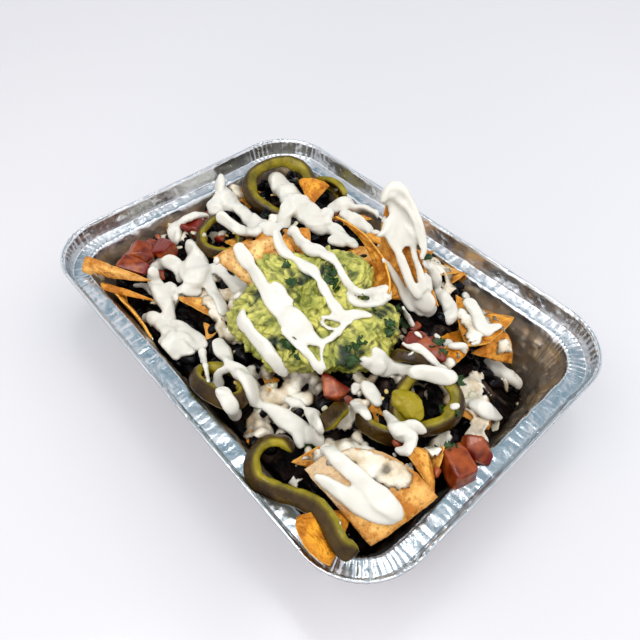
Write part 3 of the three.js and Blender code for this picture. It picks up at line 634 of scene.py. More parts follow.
def heap_core(outline):
    """The edge slides to where the heap meets the wall. The top goes in to the middle in rings, and the
    side goes down the wall to the floor. Lumps of three sizes stand up from the top."""
    edge_z = np.full(outline.columns, float(BED_LEVEL))
    for _ in range(4):
        edge = outline.at(wall_inset(edge_z) + WALL_GAP)
        edge_z = bed_height(edge[:, 0], edge[:, 1]) - CORE_BELOW
    rings = np.linspace(0.985, 0.02, 58)[:, None, None]
    top = edge[None] * rings
    flat = np.concatenate([top, np.zeros((*top.shape[:2], 1))], -1)
    lumpy = 2.2 * lumps(flat, 6.5, 21) + 1.4 * lumps(flat, 3.1, 22) + 0.5 * noise(flat, 1.6, 23)
    top_z = bed_height(top[..., 0], top[..., 1]) - CORE_BELOW - LUMP_MEAN + lumpy
    top = np.concatenate([top, top_z[..., None]], -1)
    down = np.array([0.0, 0.1, 0.55, 1.0])[:, None]
    side_z = CORE_FOOT + (edge_z - 0.6 - CORE_FOOT) * down
    draw_in = np.array([8.5, 3.4, 1.2 + WALL_GAP, WALL_GAP])[:, None]
    side = np.concatenate([outline.at(wall_inset(side_z) + draw_in), side_z[..., None]], -1)
    summit = float(bed_height(0, 0)) - CORE_BELOW
    return barrel(np.concatenate([side, top]), [(0, 0, CORE_FOOT), (0, 0, summit)])


# %% Refried beans
# Beans and gravy: nearly black brown, wet, with patches of grey melted cheese stirred in. The near black is
# partly the paste's own colour and partly painted shade for the deep gaps in the heap.
bean_paste, add, shader, place = new_material("refried_black_beans_and_painted_shade")
patches = add("TexNoise", {"Vector": place, "Scale": grains(7), "Detail": 4, "Roughness": 0.6})
cheese_part = add("MapRange", {"Value": patches, "From Min": 0.58, "From Max": 0.7})
red_part = add("TexNoise", {"Vector": place, "Scale": grains(4), "Detail": 2})
red_range = add("MapRange", {"Value": red_part, "From Min": 0.5, "From Max": 0.75})
# Painted shade: the near-black colour also stands for the shadow in the deep gaps between chips.
dark = add("Mix", {"Factor": red_range, 6: colour("#060405"), 7: colour("#220f0b")}, data_type="RGBA")
paste = add("Mix", {"Factor": cheese_part, 6: dark, 7: colour("#4a3c33")}, data_type="RGBA")
rough = add("TexNoise", {"Vector": place, "Scale": grains(0.9), "Detail": 4})
bump = add("Bump", {"Strength": 0.6, "Distance": 0.001, "Height": rough})
fill_inputs(shader, {"Base Color": paste, "Normal": bump, "Roughness": 0.4, "Specular IOR Level": 0.12})

core = make_piece("heap_core", heap_core(heap_outline), bean_paste, ["bean_and_cheese_heap"],
                  "beans_and_cheese")
print("heap core:", triangle_count(core), "triangles")

# %% [markdown]
# ## Tortilla chips
# A corn chip is a thin cut triangle of dough that curls and blisters as it fries. Its middle surface
# is a curved triangle: a patch set by three corners and by how far the middle of each side stands off
# the plane. Blisters swell both faces, and the rim is rounded and browner than the middle.

# %% A chip's shape
CHIP_THICKNESS = 2.1  # mm


def chip_shape(corners, bends, arc=0.07, seed=0, steps=40):
    """For parts u, v, w of the way to the corners a, b, c (they add up to 1) the surface is
    a u^2 + b v^2 + c w^2 + 2 ab u v + 2 bc v w + 2 ca w u, where ab, bc and ca are the pulled side middles.
    Returns the shape, and how far each point is from the rim in mm."""
    a, b, c = np.array(corners, float)
    plane = unit(np.cross(b - a, c - a))
    bulge = unit((b + c) / 2 - a) * np.linalg.norm(c - b) * arc
    ab = (a + b) / 2 + plane * 2 * bends[0]
    bc = (b + c) / 2 + plane * 2 * bends[1] + bulge * 2
    ca = (c + a) / 2 + plane * 2 * bends[2]
    i, j = np.tril_indices(steps + 1)
    v, w = (i - j) / steps, j / steps

    def surface(v, w):
        u, v, w = (1 - v - w)[:, None], v[:, None], w[:, None]
        return a * u * u + b * v * v + c * w * w + 2 * (ab * u * v + bc * v * w + ca * w * u)

    sides = np.linalg.norm([c - b, a - c, b - a], axis=1)
    heights = np.linalg.norm(np.cross(b - a, c - a)) / sides
    shares = np.stack([1 - v - w, v, w], -1)
    from_rim = (shares * heights).min(-1)
    middle = surface(v, w)
    centre = middle.mean(0)
    pointed = smooth_step(0.86, 1.0, shares.max(-1))[:, None]
    ragged = relief(middle, (1, 3.0, seed + 1), (0.6, 1.3, seed + 2))
    near_rim = np.exp(-from_rim / 2.0)
    inward = unit(centre - middle)
    middle = middle + inward * (pointed * 0.7 + (near_rim * (0.25 + 0.35 * ragged))[:, None])
    nudge = 1e-3
    normal = unit(np.cross(surface(v + nudge, w) - surface(v, w), surface(v, w + nudge) - surface(v, w)))
    sway = relief(middle, (0.55, 10, seed + 3), (0.25, 4.5, seed + 4))
    blister = 1.5 * np.clip(noise(middle, 4.2, seed + 5) - 0.15, 0, 1) + 0.2 * noise(middle, 1.6, seed + 6)
    half = CHIP_THICKNESS / 2 * (0.55 + 0.3 * smooth_step(0, 3, from_rim))
    half = half + blister * smooth_step(0.5, 4, from_rim)
    top = middle + normal * (sway + half)[:, None]
    bottom = middle + normal * (sway - half)[:, None]
    count = len(i)
    index = -np.ones((steps + 1, steps + 1), int)
    index[i, j] = np.arange(count)
    up_i, up_j = np.tril_indices(steps)
    up = np.stack([index[up_i, up_j], index[up_i + 1, up_j], index[up_i + 1, up_j + 1]], -1)
    inner = up_j < up_i
    down = np.stack([index[up_i, up_j], index[up_i + 1, up_j + 1], index[up_i, up_j + 1]], -1)[inner]
    faces = np.concatenate([up, down])
    rim = np.concatenate([index[np.arange(steps), 0], index[steps, np.arange(steps)],
                          index[np.arange(steps, 0, -1), np.arange(steps, 0, -1)]])
    edge = (top[rim] + bottom[rim]) / 2 - inward[rim] * 0.35
    edge_start = 2 * count
    here = np.arange(len(rim))
    there = (here + 1) % len(rim)
    edge_here, edge_there = edge_start + here, edge_start + there
    upper_band = np.stack([rim[here], edge_here, edge_there, rim[there]], -1)
    lower_band = np.stack([edge_here, count + rim[here], count + rim[there], edge_there], -1)
    points = np.concatenate([top, bottom, edge])
    shape = faced_out(points, [faces, count + faces[:, ::-1], upper_band, lower_band])
    distance = np.concatenate([from_rim, from_rim, np.full(len(rim), -0.4)])
    return shape, distance


# %% Fried corn dough
# Warm gold, browner at the rim and on the blisters, dry and finely pitted, with a thin film of oil.
fried_corn, add, shader, place = new_material("fried_corn_dough")
tone = add("Attribute", attribute_name="tone").outputs["Fac"]
rim_distance = add("Attribute", attribute_name="rim").outputs["Fac"]
mottle = add("TexNoise", {"Vector": place, "Scale": grains(3.2), "Detail": 5, "Roughness": 0.62})
mottle_range = add("MapRange", {"Value": mottle, "From Min": 0.4, "From Max": 0.58})
pale_gold = add("Mix", {"Factor": tone, 6: colour("#eaa52f"), 7: colour("#eecb8c")}, data_type="RGBA")
deep_gold = add("Mix", {"Factor": tone, 6: colour("#b06c0b"), 7: colour("#bb7d34")}, data_type="RGBA")
gold = add("Mix", {"Factor": mottle_range, 6: deep_gold, 7: pale_gold}, data_type="RGBA")
toasted = add("MapRange", {"Value": rim_distance, "From Min": 0.0, "From Max": 2.6, "To Min": 0.55,
                           "To Max": 0.0})
brown = add("Mix", {"Factor": toasted, 6: gold, 7: colour("#a8681c")}, data_type="RGBA")
cut = add("MapRange", {"Value": rim_distance, "From Min": -0.1, "From Max": -0.35})
corn = add("Mix", {"Factor": cut, 6: brown, 7: colour("#e8b65c")}, data_type="RGBA")
specks = add("TexVoronoi", {"Vector": place, "Scale": 1 / (2.6 * MM), "Randomness": 1.0})
speck_part = add("MapRange", {"Value": specks, "From Min": 0.3, "From Max": 0.08, "To Max": 0.6})
speckled = add("Mix", {"Factor": speck_part, 6: corn, 7: colour("#8a4f1e")}, data_type="RGBA")
film_there = add("Attribute", attribute_name="film").outputs["Fac"]
film_share = add("MapRange", {"Value": film_there, "To Max": 0.85})
filmed = add("Mix", {"Factor": film_share, 6: speckled, 7: colour("#cdb594")}, data_type="RGBA")
wetness = add("MapRange", {"Value": film_there, "To Min": 0.46, "To Max": 0.25})
pits = add("TexNoise", {"Vector": place, "Scale": grains(0.7), "Detail": 4, "Roughness": 0.65})
wrinkles = add("TexNoise", {"Vector": place, "Scale": grains(2.2), "Detail": 3, "Distortion": 1.0})
pit_bump = add("Bump", {"Strength": 0.9, "Distance": 0.0007, "Height": pits})
wrinkle_bump = add("Bump", {"Strength": 1.0, "Distance": 0.002, "Height": wrinkles, "Normal": pit_bump})
fill_inputs(shader, {"Base Color": filmed, "Roughness": wetness, "Normal": wrinkle_bump,
                     "Specular IOR Level": 0.4, "Subsurface Weight": 0.2,
                     "Subsurface Radius": (1.0, 0.55, 0.15), "Subsurface Scale": 0.003})

# %% The chips that show
# Corners a, b, c; how far the middles of sides ab, bc, ca stand off the plane; bulge of side bc; tone,
# from 0 for deep gold to 1 for pale.
CHIPS = {
    "chip_front": ([[93, -57, 49], [97, -29, 52], [60.5, -58, 57]], [2, 4, 2], 0.22, 0.55),
    "chip_front_broken": ([[77, -27, 56], [96, -30, 51], [82, -18, 50]], [1, 0, 1], 0.07, 0.3),
    "chip_front_under": ([[53, -58, 50], [57, -45, 53], [72, -44, 47]], [0, 2, 0], 0.07, 0.4),
    "chip_corner": ([[80, -53, 47], [71, -70.5, 57], [90, -72.5, 56]], [2, 1, 2], 0.2, 0.0),
    "chip_sliver": ([[86, -13, 53], [91, -26, 47], [80, -17, 40]], [1, 0, 0], 0.07, 0.3),
    "chip_dollop": ([[82, 20, 47], [79, 4, 48], [92, 9, 44]], [1, 1, 1], 0.07, 0.3),
    "chip_orange": ([[57, 15, 57], [66, 12, 53], [65, 27, 56]], [1, 1, 1], 0.07, 0.0),
    "chip_tall": ([[42, 36, 53], [24, 20, 56], [2, 45, 91]], [4, 5, 3], 0.12, 0.2),
    "chip_curl": ([[-11, 22, 78], [20.3, 14.9, 58.5], [30, 15.4, 66]], [-9, -2, -10], 0.07, 0.2),
    "chip_guac_left": ([[-41, -24, 61], [-1, -18, 57], [-23, 0, 72]], [3, 3, 3], 0.12, 0.9),
    "chip_back_small": ([[-30, 8, 66], [-6, 4, 60], [-19, 15, 70]], [1, 1, 1], 0.07, 0.2),
    "chip_right_bowl": ([[40, 50, 50], [64, 27, 54], [66, 59, 50]], [-4, -2, -3], 0.07, 0.1),
    "chip_right_under": ([[64, 31, 46], [77, 47, 37], [67, 50, 49]], [2, 1, 1], 0.07, 0.2),
    "chip_left_corner": ([[-88, -63.5, 53], [-83, -69, 49.5], [-59.5, -46, 46.5]], [1, 0, 2], 0.07, 0.5),
    "chip_left_under": ([[-73.5, -65, 48], [-69.5, -66.5, 47], [-50.5, -50, 43]], [1, 0, 1], 0.07, 0.15),
    "chip_left_side": ([[-76, -64.5, 45], [-31, -64, 45.5], [-68, -60.5, 37]], [2, 0, 1], 0.07, 0.2),
    "chip_left_inner": ([[-46, -44, 46], [-36.5, -31.5, 44], [-18, -36, 47]], [1, 0, 1], 0.07, 0.35),
    "chip_back_corner": ([[-52, 44, 46], [-54, 60, 51], [-70, 51, 50]], [1, 2, 1], 0.07, 0.05),
}

# Where cheese melted over a chip in a thin film: middle x, y, z and reach of each spot, in mm.
CHEESE_FILMS = {"chip_front": [(62, -52, 56, 13), (70, -55, 55, 13), (76, -45, 56, 14)]}


def film_on(points, spots):
    """1 where the film is whole, 0 where there is none: the greatest of 1.5 (1 - distance / reach), plus
    noise."""
    film = np.zeros(len(points))
    for *middle, reach in spots:
        film = np.maximum(film, 1.5 * (1 - np.linalg.norm(points - middle, axis=1) / reach))
    return np.clip(film + relief(points, (0.35, 4, 61), (0.2, 1.5, 62)) * (film > 0), 0, 1)


for number, (name, (corners, bends, arc, tone_value)) in enumerate(CHIPS.items()):
    shape, distance = chip_shape(corners, bends, arc, seed=100 + 10 * number)
    make_piece("corn_" + name, shape, fried_corn, [name], "corn_chip", rim=distance,
               tone=np.full(len(distance), tone_value), film=film_on(shape[0], CHEESE_FILMS.get(name, [])))
print("chips:", len(CHIPS))

# %% [markdown]
# ## Jalapeno rings and strips
# A pickled jalapeno slice is a ring of wall: a thin dark glossy skin outside, yellow-green flesh
# within. Strips are the same wall cut along the pepper. Both are a soft rectangle of flesh carried
# along a path, and an attribute marks the side with the skin, so one material can do both.

# %% A section carried along a path


def even_path(places, spacing):
    """A smooth curve through given places, cut into even steps: between two places p1 and p2 it is the
    Catmull-Rom cubic of p0, p1, p2, p3. Columns after the third, such as a width, go along with it."""
    places = np.array(places, float)
    padded = np.vstack([2 * places[0] - places[1], places, 2 * places[-1] - places[-2]])
    p0, p1, p2, p3 = padded[:-3, None], padded[1:-2, None], padded[2:-1, None], padded[3:, None]
    t = np.linspace(0, 1, 12, endpoint=False)[:, None]
    curve = 0.5 * (2 * p1 + (p2 - p0) * t + (2 * p0 - 5 * p1 + 4 * p2 - p3) * t ** 2
                   + (3 * p1 - p0 - 3 * p2 + p3) * t ** 3)
    curve = np.vstack([curve.reshape(-1, places.shape[1]), places[-1]])
    along = np.concatenate([[0], np.cumsum(np.linalg.norm(np.diff(curve[:, :3], axis=0), axis=1))])
    even = np.linspace(0, along[-1], max(int(along[-1] / spacing), 3) + 1)
    return np.stack([np.interp(even, along, column) for column in curve.T], 1)


def soft_rectangle(sides, squareness=0.62):
    """A rectangle with round corners: the cosine and sine of an angle, each raised to a power below 1."""
    angle = (np.arange(sides) + 0.5) / sides * 2 * np.pi
    return power(np.cos(angle), squareness), power(np.sin(angle), squareness), angle


def ring_shape(middle, normal, radii, slice_height, wall, lean, seed, steps=110, sides=20):
    """A ring: round the angle A its middle line is at radii times cos A and sin A, made uneven by
    1 + 0.07 sin(3 A). The wall leans inwards at its top by an angle, as near the pepper's tip, and swells
    inwards at three places, where the ribs were."""
    axis = unit(np.array(normal, float))
    long = unit(np.array([1.0, 0, 0]) - axis[0] * axis)
    short = np.cross(axis, long)
    angle = np.arange(steps)[:, None] / steps * 2 * np.pi
    uneven = 1 + 0.07 * np.sin(3 * angle + middle[0])
    out = long * np.cos(angle) * radii[0] * uneven + short * np.sin(angle) * radii[1] * uneven
    outwards = unit(out)
    up_part, out_part, _ = soft_rectangle(sides)
    ribs = 1.7 * np.clip(np.cos(3 * angle + seed), 0, 1) ** 3
    radial = out_part[None] * wall / 2 - np.where(out_part < 0, 1, 0)[None] * ribs * np.abs(out_part[None])
    crown = 1 + 0.1 * (1 - out_part[None] ** 2)
    upright = up_part[None] * crown * slice_height / 2
    grid = np.array(middle) + out[:, None] \
        + outwards[:, None] * (radial * np.cos(lean) - upright * np.sin(lean))[..., None] \
        + axis * (upright * np.cos(lean) + radial * np.sin(lean))[..., None]
    grid = grid + outwards[:, None] * relief(grid, (0.35, 4, seed), (0.12, 1.5, seed + 1))[..., None]
    points = grid.reshape(-1, 3)
    skin = np.broadcast_to(smooth_step(0.4, 0.85, out_part)[None], (steps, sides)).ravel()
    here, end = np.arange(sides), (steps - 1) * sides
    there = (here + 1) % sides
    last = np.stack([end + here, end + there, there, here], -1)
    return faced_out(points, [grid_faces(steps, sides), last]), skin


def strip_shape(places, side, broad, thin, skin_angle, seed, lean=0.0, sides=20):
    """A strip: the soft rectangle carried along the path with its broad way towards side, then leaned over
    by an angle, and narrowed to round ends. The skin covers the part of the section towards skin_angle."""
    path = even_path(places, 0.8)
    along = unit(np.gradient(path, axis=0))
    side = np.array(side, float)
    across = unit(side - (along @ side)[:, None] * along)
    up = np.cross(along, across)
    across, up = across * np.cos(lean) - up * np.sin(lean), up * np.cos(lean) + across * np.sin(lean)
    across_part, up_part, angle = soft_rectangle(sides)
    reach = np.minimum(np.arange(len(path)), np.arange(len(path))[::-1]) * 0.8
    size = np.sqrt(np.clip(reach / 3.2, 0.06, 1))[:, None]
    grid = path[:, None] + across[:, None] * (size * across_part * broad / 2)[..., None] \
        + up[:, None] * (size * up_part * thin / 2)[..., None]
    away = grid - path[:, None]
    grid = grid + away * relief(grid, (0.12, 4, seed), (0.05, 1.6, seed + 1))[..., None]
    skin = smooth_step(0.25, 0.9, np.cos(angle - skin_angle))
    skin = np.broadcast_to(skin[None], grid.shape[:2]).ravel()
    shape = barrel(grid, [path[0] - along[0] * 0.3, path[-1] + along[-1] * 0.3])
    return shape, np.concatenate([skin, [0.5, 0.5]])


# %% Pickled jalapeno
# Wet olive flesh that lets some light in, under a skin nearly brown from the brine.
pickled_pepper, add, shader, place = new_material("pickled_jalapeno")
skin = add("Attribute", attribute_name="skin").outputs["Fac"]
shade = add("TexNoise", {"Vector": place, "Scale": grains(3.5), "Detail": 4})
shade_range = add("MapRange", {"Value": shade, "From Min": 0.32, "From Max": 0.68})
flesh = add("Mix", {"Factor": shade_range, 6: colour("#5f560c"), 7: colour("#98891f")}, data_type="RGBA")
outside = add("Mix", {"Factor": shade_range, 6: colour("#2b1a06"), 7: colour("#4e3a10")}, data_type="RGBA")
pepper = add("Mix", {"Factor": skin, 6: flesh, 7: outside}, data_type="RGBA")
pith = add("Attribute", attribute_name="pith").outputs["Fac"]
pepper_and_pith = add("Mix", {"Factor": pith, 6: pepper, 7: colour("#93841c")}, data_type="RGBA")
fibre = add("TexNoise", {"Vector": place, "Scale": grains(0.9), "Detail": 3})
fibre_bump = add("Bump", {"Strength": 0.6, "Distance": 0.0008, "Height": fibre})
fill_inputs(shader, {"Base Color": pepper_and_pith, "Normal": fibre_bump, "Roughness": 0.24,
                     "Specular IOR Level": 0.3, "Subsurface Weight": 0.2,
                     "Subsurface Radius": (0.6, 0.8, 0.2), "Subsurface Scale": 0.002, "Coat Weight": 0.15,
                     "Coat Roughness": 0.1})

# %% Rings and strips
# Middle, axis, radii, height of the slice, thickness of the wall, and how far it leans.
RINGS = {
    "jalapeno_left": ([9, -56, 49], [-0.2, 0.3, 1], [12, 8], 6.5, 4.2, 0.5),
    "jalapeno_right": ([69.5, -4.5, 53.5], [0.1, -0.3, 1], [10.5, 12.5], 6.5, 5, 0.35),
    "jalapeno_back_left": ([-62, -6, 48.5], [0.3, -0.2, 1], [10.5, 9.5], 6, 4, 0.6),
    "jalapeno_back": ([-73, 42, 47.5], [0.35, -0.2, 1], [17.5, 16.5], 7, 6.2, 0.5),
}
# Places along the strip, its broad way, breadth, thickness, the angle of its skin, and how far it leans.
STRIPS = {
    "jalapeno_front": (
        [[50.5, -54.5, 50], [45.5, -54.5, 50.5], [42, -58.5, 51], [42, -64, 51], [45, -68.5, 51],
         [50.5, -71, 51], [56.5, -69.5, 51.5], [63, -66.5, 53], [69.5, -64, 55], [75, -63, 57],
         [80.5, -64, 59], [84.5, -65.5, 59.5], [89, -66, 59], [92.5, -63, 57]],
        [0, 0, 1], 6.8, 3.4, np.pi / 2 + 0.4, 0.85),
    "jalapeno_strip_front": (
        [[55, -26.5, 51], [61, -27.5, 51.5], [67, -26.5, 52], [72, -23.5, 52.5], [74, -18, 52]],
        [0, 0, 1], 6.5, 4, np.pi / 2, 0.6),
    "jalapeno_middle": (
        [[51, -41, 50], [50.5, -37, 51.5], [50, -32, 52], [49, -26.5, 51]],
        [1, 0, 0.2], 7, 3.8, -np.pi / 2, 0),
    "jalapeno_right_back": (
        [[46, 1, 54], [52, 3, 57], [58, 7, 57], [63, 12, 54]],
        [-0.5, 0.4, 1], 5, 3.6, np.pi / 2, 0.5),
    "jalapeno_back_strip": (
        [[-72, 64, 42], [-62, 67, 46], [-54, 68, 46], [-46, 66, 43]],
        [0, -0.6, 1], 6, 4, np.pi / 2, 0),
}
# The lump of pith that hangs on in the right ring: middle and half sizes.
PITH_MIDDLE, PITH_HALF = (66.0, -11.0, 54.3), (6.8, 5.2, 4.0)


def pith_lump(middle, half):
    """A ball of three half sizes, its skin moved in and out by lumps of two sizes."""
    points, faces = unit_ball(26, 40)
    points = points * np.array(half)
    points = points * (1 + 0.22 * noise(points, 4.2, 65) + 0.12 * noise(points, 1.6, 66))[:, None]
    return points + np.array(middle), faces


for number, (name, sizes) in enumerate(RINGS.items()):
    shape, skin_values = ring_shape(*sizes, seed=300 + 7 * number)
    pith_values = np.zeros(len(skin_values))
    if name == "jalapeno_right":
        lump = pith_lump(PITH_MIDDLE, PITH_HALF)
        shape = joined([shape, lump])
        skin_values = np.append(skin_values, np.zeros(len(lump[0])))
        pith_values = np.append(pith_values, np.ones(len(lump[0])))
    make_piece("pickled_" + name, shape, pickled_pepper, [name], "jalapeno",
               skin=skin_values, pith=pith_values)
for number, (name, sizes) in enumerate(STRIPS.items()):
    shape, skin_values = strip_shape(*sizes[:5], lean=sizes[5], seed=340 + 7 * number)
    make_piece("pickled_" + name, shape, pickled_pepper, [name], "jalapeno", skin=skin_values)
print("jalapeno pieces:", len(RINGS) + len(STRIPS))

# %% [markdown]
# ## Diced tomato
# A dice of ripe tomato keeps one side of shiny skin, and its cut sides are soft and wet. Each is a ball
# cut flat from fifteen sides: every point of it goes out only as far as the nearest cut.

# %% Tomato dice
# Middle, length, width and height, and turns about X, Y and Z.
TOMATOES = {
    "tomato_right_upper": ([93.5, -3.5, 49], [11, 9, 8], [0.2, 0.3, 0.5]),
    "tomato_right_lower": ([94, -13.5, 48], [13, 10, 9], [-0.2, 0.1, -0.4]),
    "tomato_middle": ([50, 12, 56], [10, 8, 7], [0.1, 0.4, 0.7]),
    "tomato_middle_right": ([56, 13, 57], [12, 7, 7], [0.3, 0.2, 0.2]),
    "tomato_under_guacamole": ([41, -25, 49], [10, 9, 8], [0.4, 0, 0.3]),
    "tomato_left_upper": ([-74.5, -31.5, 46], [12, 10, 9], [0.2, -0.2, 0.3]),
    "tomato_left_middle": ([-72, -49, 48], [16, 7, 5], [0, 0.2, 0.6]),
    "tomato_left_lower": ([-78.5, -41, 46.5], [11, 10, 8], [-0.2, 0.1, 0.9]),
    "tomato_back_left": ([-78, -10, 46.5], [11, 9, 7], [0.2, 0.3, 0.1]),
}


def turned(x, y, z):
    """The matrix that turns about Z, then Y, then X, each by an angle in radians."""
    return about(0, x) @ about(1, y) @ about(2, z)


def chopped(seed, cuts=9, sharpness=22):
    """A piece with flat cut sides: in a direction u it reaches to (sum of max(0, n . u / d)^p)^(-1/p),
    where each cut has a direction n and a distance d, and p is the sharpness of the edges between cuts."""
    rng = np.random.default_rng(seed)
    points, faces = unit_ball(34, 52)
    ways = np.concatenate([np.eye(3), -np.eye(3), rng.normal(0, 1, (cuts, 3))])
    ways[:6] += rng.normal(0, 0.2, (6, 3))
    ways = unit(ways)
    far = np.concatenate([rng.uniform(0.75, 1, 6), rng.uniform(0.8, 1.25, cuts)])
    reach = (np.maximum(0, points @ ways.T / far) ** sharpness).sum(1) ** (-1 / sharpness)
    return points * reach[:, None], faces, ways


# %% Ripe tomato
# Deep red-orange skin, paler wet flesh that light goes into.
ripe_tomato, add, shader, place = new_material("ripe_tomato")
skin = add("Attribute", attribute_name="skin").outputs["Fac"]
veins = add("TexNoise", {"Vector": place, "Scale": grains(2.6), "Detail": 4, "Roughness": 0.6})
vein_range = add("MapRange", {"Value": veins, "From Min": 0.35, "From Max": 0.7})
flesh = add("Mix", {"Factor": vein_range, 6: colour("#641c0c"), 7: colour("#a65824")}, data_type="RGBA")
tomato_colour = add("Mix", {"Factor": skin, 6: flesh, 7: colour("#701e0f")}, data_type="RGBA")
soft = add("TexNoise", {"Vector": place, "Scale": grains(1.2), "Detail": 2})
soft_bump = add("Bump", {"Strength": 0.25, "Distance": 0.0006, "Height": soft})
fill_inputs(shader, {"Base Color": tomato_colour, "Normal": soft_bump, "Roughness": 0.3,
                     "Subsurface Weight": 0.3, "Subsurface Radius": (1.0, 0.35, 0.15),
                     "Subsurface Scale": 0.003, "Coat Weight": 0.2, "Coat Roughness": 0.08})

# %% The dice in their places
DICE_REACH = 0.56  # half of 1, and a little more for what the cuts take off
for number, (name, (middle, size, turn)) in enumerate(TOMATOES.items()):
    cut_points, cut_faces, cut_ways = chopped(400 + number)
    soft_points = cut_points * (1 + 0.05 * noise(cut_points, 0.5, 420 + number))[:, None]
    local = soft_points * np.array(size) * DICE_REACH
    points = local @ turned(*turn).T + np.array(middle)
    skin_values = smooth_step(0.45, 0.7, cut_points @ cut_ways[number % 3])
    make_piece("diced_" + name, (points, cut_faces), ripe_tomato, [name], "tomato", skin=skin_values)
print("tomato dice:", len(TOMATOES))

# %% [markdown]
# ## Guacamole
# Roughly mashed avocado, dropped on in spoonfuls that ran together. Each spoonful is a soft egg, and
# the mound's skin is where their fills add up to 1. From a heart inside the mound every place of that
# skin can be seen, so the skin is found along straight lines from there. Torn layers, crests, chunks
# and fine crumbs make the mash.

# %% Guacamole
# Each spoonful's middle and its three radii, in mm.
SPOONFULS = np.array([
    [5, -26, 54, 25, 15, 12], [30, -3, 55, 15, 22, 11], [8, 6, 64, 16, 12, 12], [-7, -12, 61, 14, 14, 12],
    [12, -10, 60, 15, 13, 13], [5, 15, 61, 12, 10, 10]], float)
HEART = np.array([11, -10, 58], float)
FIRMNESS = 2.4
FAR_OUTSIDE, HALVINGS = 70.0, 14  # mm, and times that the stretch is halved
# Where chopped herbs are mashed in: middle x, y, z and reach of each patch, in mm.
HERB_SPOTS = [(-6.5, -25.6, 66, 3.5), (9.5, 0, 75, 4), (1.7, -7.9, 70.5, 5), (33, 8.5, 64.5, 4.5),
              (38, 7, 62.7, 3.5), (40, -16.4, 60.4, 5.5), (36.7, -16, 61.6, 4), (45, -18, 50, 4),
              (16, -34, 62, 3)]


def guacamole_fill(points):
    """The sum over the spoonfuls of exp(firmness (1 - d^2)); d is the distance in the egg's own radii."""
    in_eggs = (points[..., None, :] - SPOONFULS[:, :3]) / SPOONFULS[:, 3:]
    return np.exp(FIRMNESS * (1 - (in_eggs ** 2).sum(-1))).sum(-1)


def guacamole_mound(rows=200, columns=380):
    """In each direction the skin is found by halving the stretch from the heart to far outside, again and
    again. The mash on it is torn layers (a slow noise rounded to steps), crests (1 - 2.2 |noise|), chunks
    and a fine noise. Returns the shape, the painted shade at each point (darker off the crests and in the
    cracks between chunks), how it is tinted and where herbs show."""
    polar = (np.arange(rows) + 0.5)[:, None] / rows * np.pi
    angle = np.arange(columns)[None] / columns * 2 * np.pi
    way = np.stack([np.sin(polar) * np.sin(angle + np.pi / 2), np.sin(polar) * np.sin(angle),
                    np.cos(polar) + 0 * angle], -1)
    near, far = np.zeros(way.shape[:2]), np.full(way.shape[:2], FAR_OUTSIDE)
    for _ in range(HALVINGS):
        middle = (near + far) / 2
        full = guacamole_fill(HEART + way * middle[..., None]) > 1
        near, far = np.where(full, middle, near), np.where(full, far, middle)
    skin_at = HEART + way * near[..., None]
    warped = skin_at + 2.4 * np.stack([noise(skin_at, 6, seed) for seed in (30, 36, 37)], -1)
    layers = 2.4 * noise(warped, 8.5, 31)
    step_part = layers - np.floor(layers)
    torn = np.floor(layers) + smooth_step(0.3, 0.95, step_part)
    crest = 1 - 2.2 * np.abs(noise(warped, 3.4, 32))
    fine = noise(skin_at, 1.5, 33)
    crack, lump = chunks(warped, 5.0, 39)
    mash = torn + 0.6 * crest + 0.35 * fine + 1.3 * lump * smooth_step(0, 0.2, crack) - 0.4
    grid = HEART + way * (near + mash + 0.9 * noise(skin_at, 12, 34) - 0.4)[..., None]
    ends = [HEART + (0, 0, near[0].mean()), HEART - (0, 0, near[-1].mean())]
    # Painted shade: low values, darker in colour, off the crests and in the cracks between chunks.
    crease = np.clip(0.75 + 0.3 * crest + 0.2 * fine - 0.4 * smooth_step(0.2, 0, crack), 0, 1).ravel()
    tint = (0.5 + 0.4 * noise(warped, 8, 35) + 0.18 * (torn - layers)).ravel()
    herbs = np.zeros(way.shape[:2])
    for *middle, reach in HERB_SPOTS:
        herbs = np.maximum(herbs, 1.4 - np.linalg.norm(grid - middle, axis=-1) / reach)
    herbs = np.clip(herbs + 0.8 * noise(skin_at, 2.2, 38) + 0.4 * fine, 0, 1).ravel()
    return (barrel(grid, ends), np.append(crease, [1, 1]), np.append(tint, [0.5, 0.5]),
            np.append(herbs * (herbs > 0.3), [0, 0]))


# %% Mashed avocado
# Fresh yellow-green on the lumps, darker green painted into the creases and cracks as shade, and darker
# still where herbs are mashed in, moist but not shiny.
mashed_avocado, add, shader, place = new_material("mashed_avocado")
# The crease attribute carries painted shade: near 0 in the creases and cracks, where the green is darkest.
crease = add("Attribute", attribute_name="crease").outputs["Fac"]
crease_range = add("MapRange", {"Value": crease, "From Min": 0.1, "From Max": 0.9})
body = add("TexNoise", {"Vector": place, "Scale": grains(4), "Detail": 4, "Roughness": 0.6})
tint = add("Attribute", attribute_name="tint").outputs["Fac"]
body_sum = add("Math", {0: body, 1: tint}, operation="ADD")
body_range = add("MapRange", {"Value": body_sum, "From Min": 0.5, "From Max": 1.05})
light_green = add("Mix", {"Factor": body_range, 6: colour("#7c842c"), 7: colour("#c9c468")},
                  data_type="RGBA")
green = add("Mix", {"Factor": crease_range, 6: colour("#667023"), 7: light_green}, data_type="RGBA")
herbs = add("TexNoise", {"Vector": place, "Scale": grains(1.3), "Detail": 3, "Roughness": 0.7})
herb_part = add("MapRange", {"Value": herbs, "From Min": 0.68, "From Max": 0.73, "To Max": 0.8})
herb_spots = add("Attribute", attribute_name="herbs").outputs["Fac"]
herb_amount = add("Math", {0: herb_part, 1: herb_spots}, operation="MAXIMUM")
herbed = add("Mix", {"Factor": herb_amount, 6: green, 7: colour("#17290a")}, data_type="RGBA")
mash = add("TexNoise", {"Vector": place, "Scale": grains(0.8), "Detail": 4})
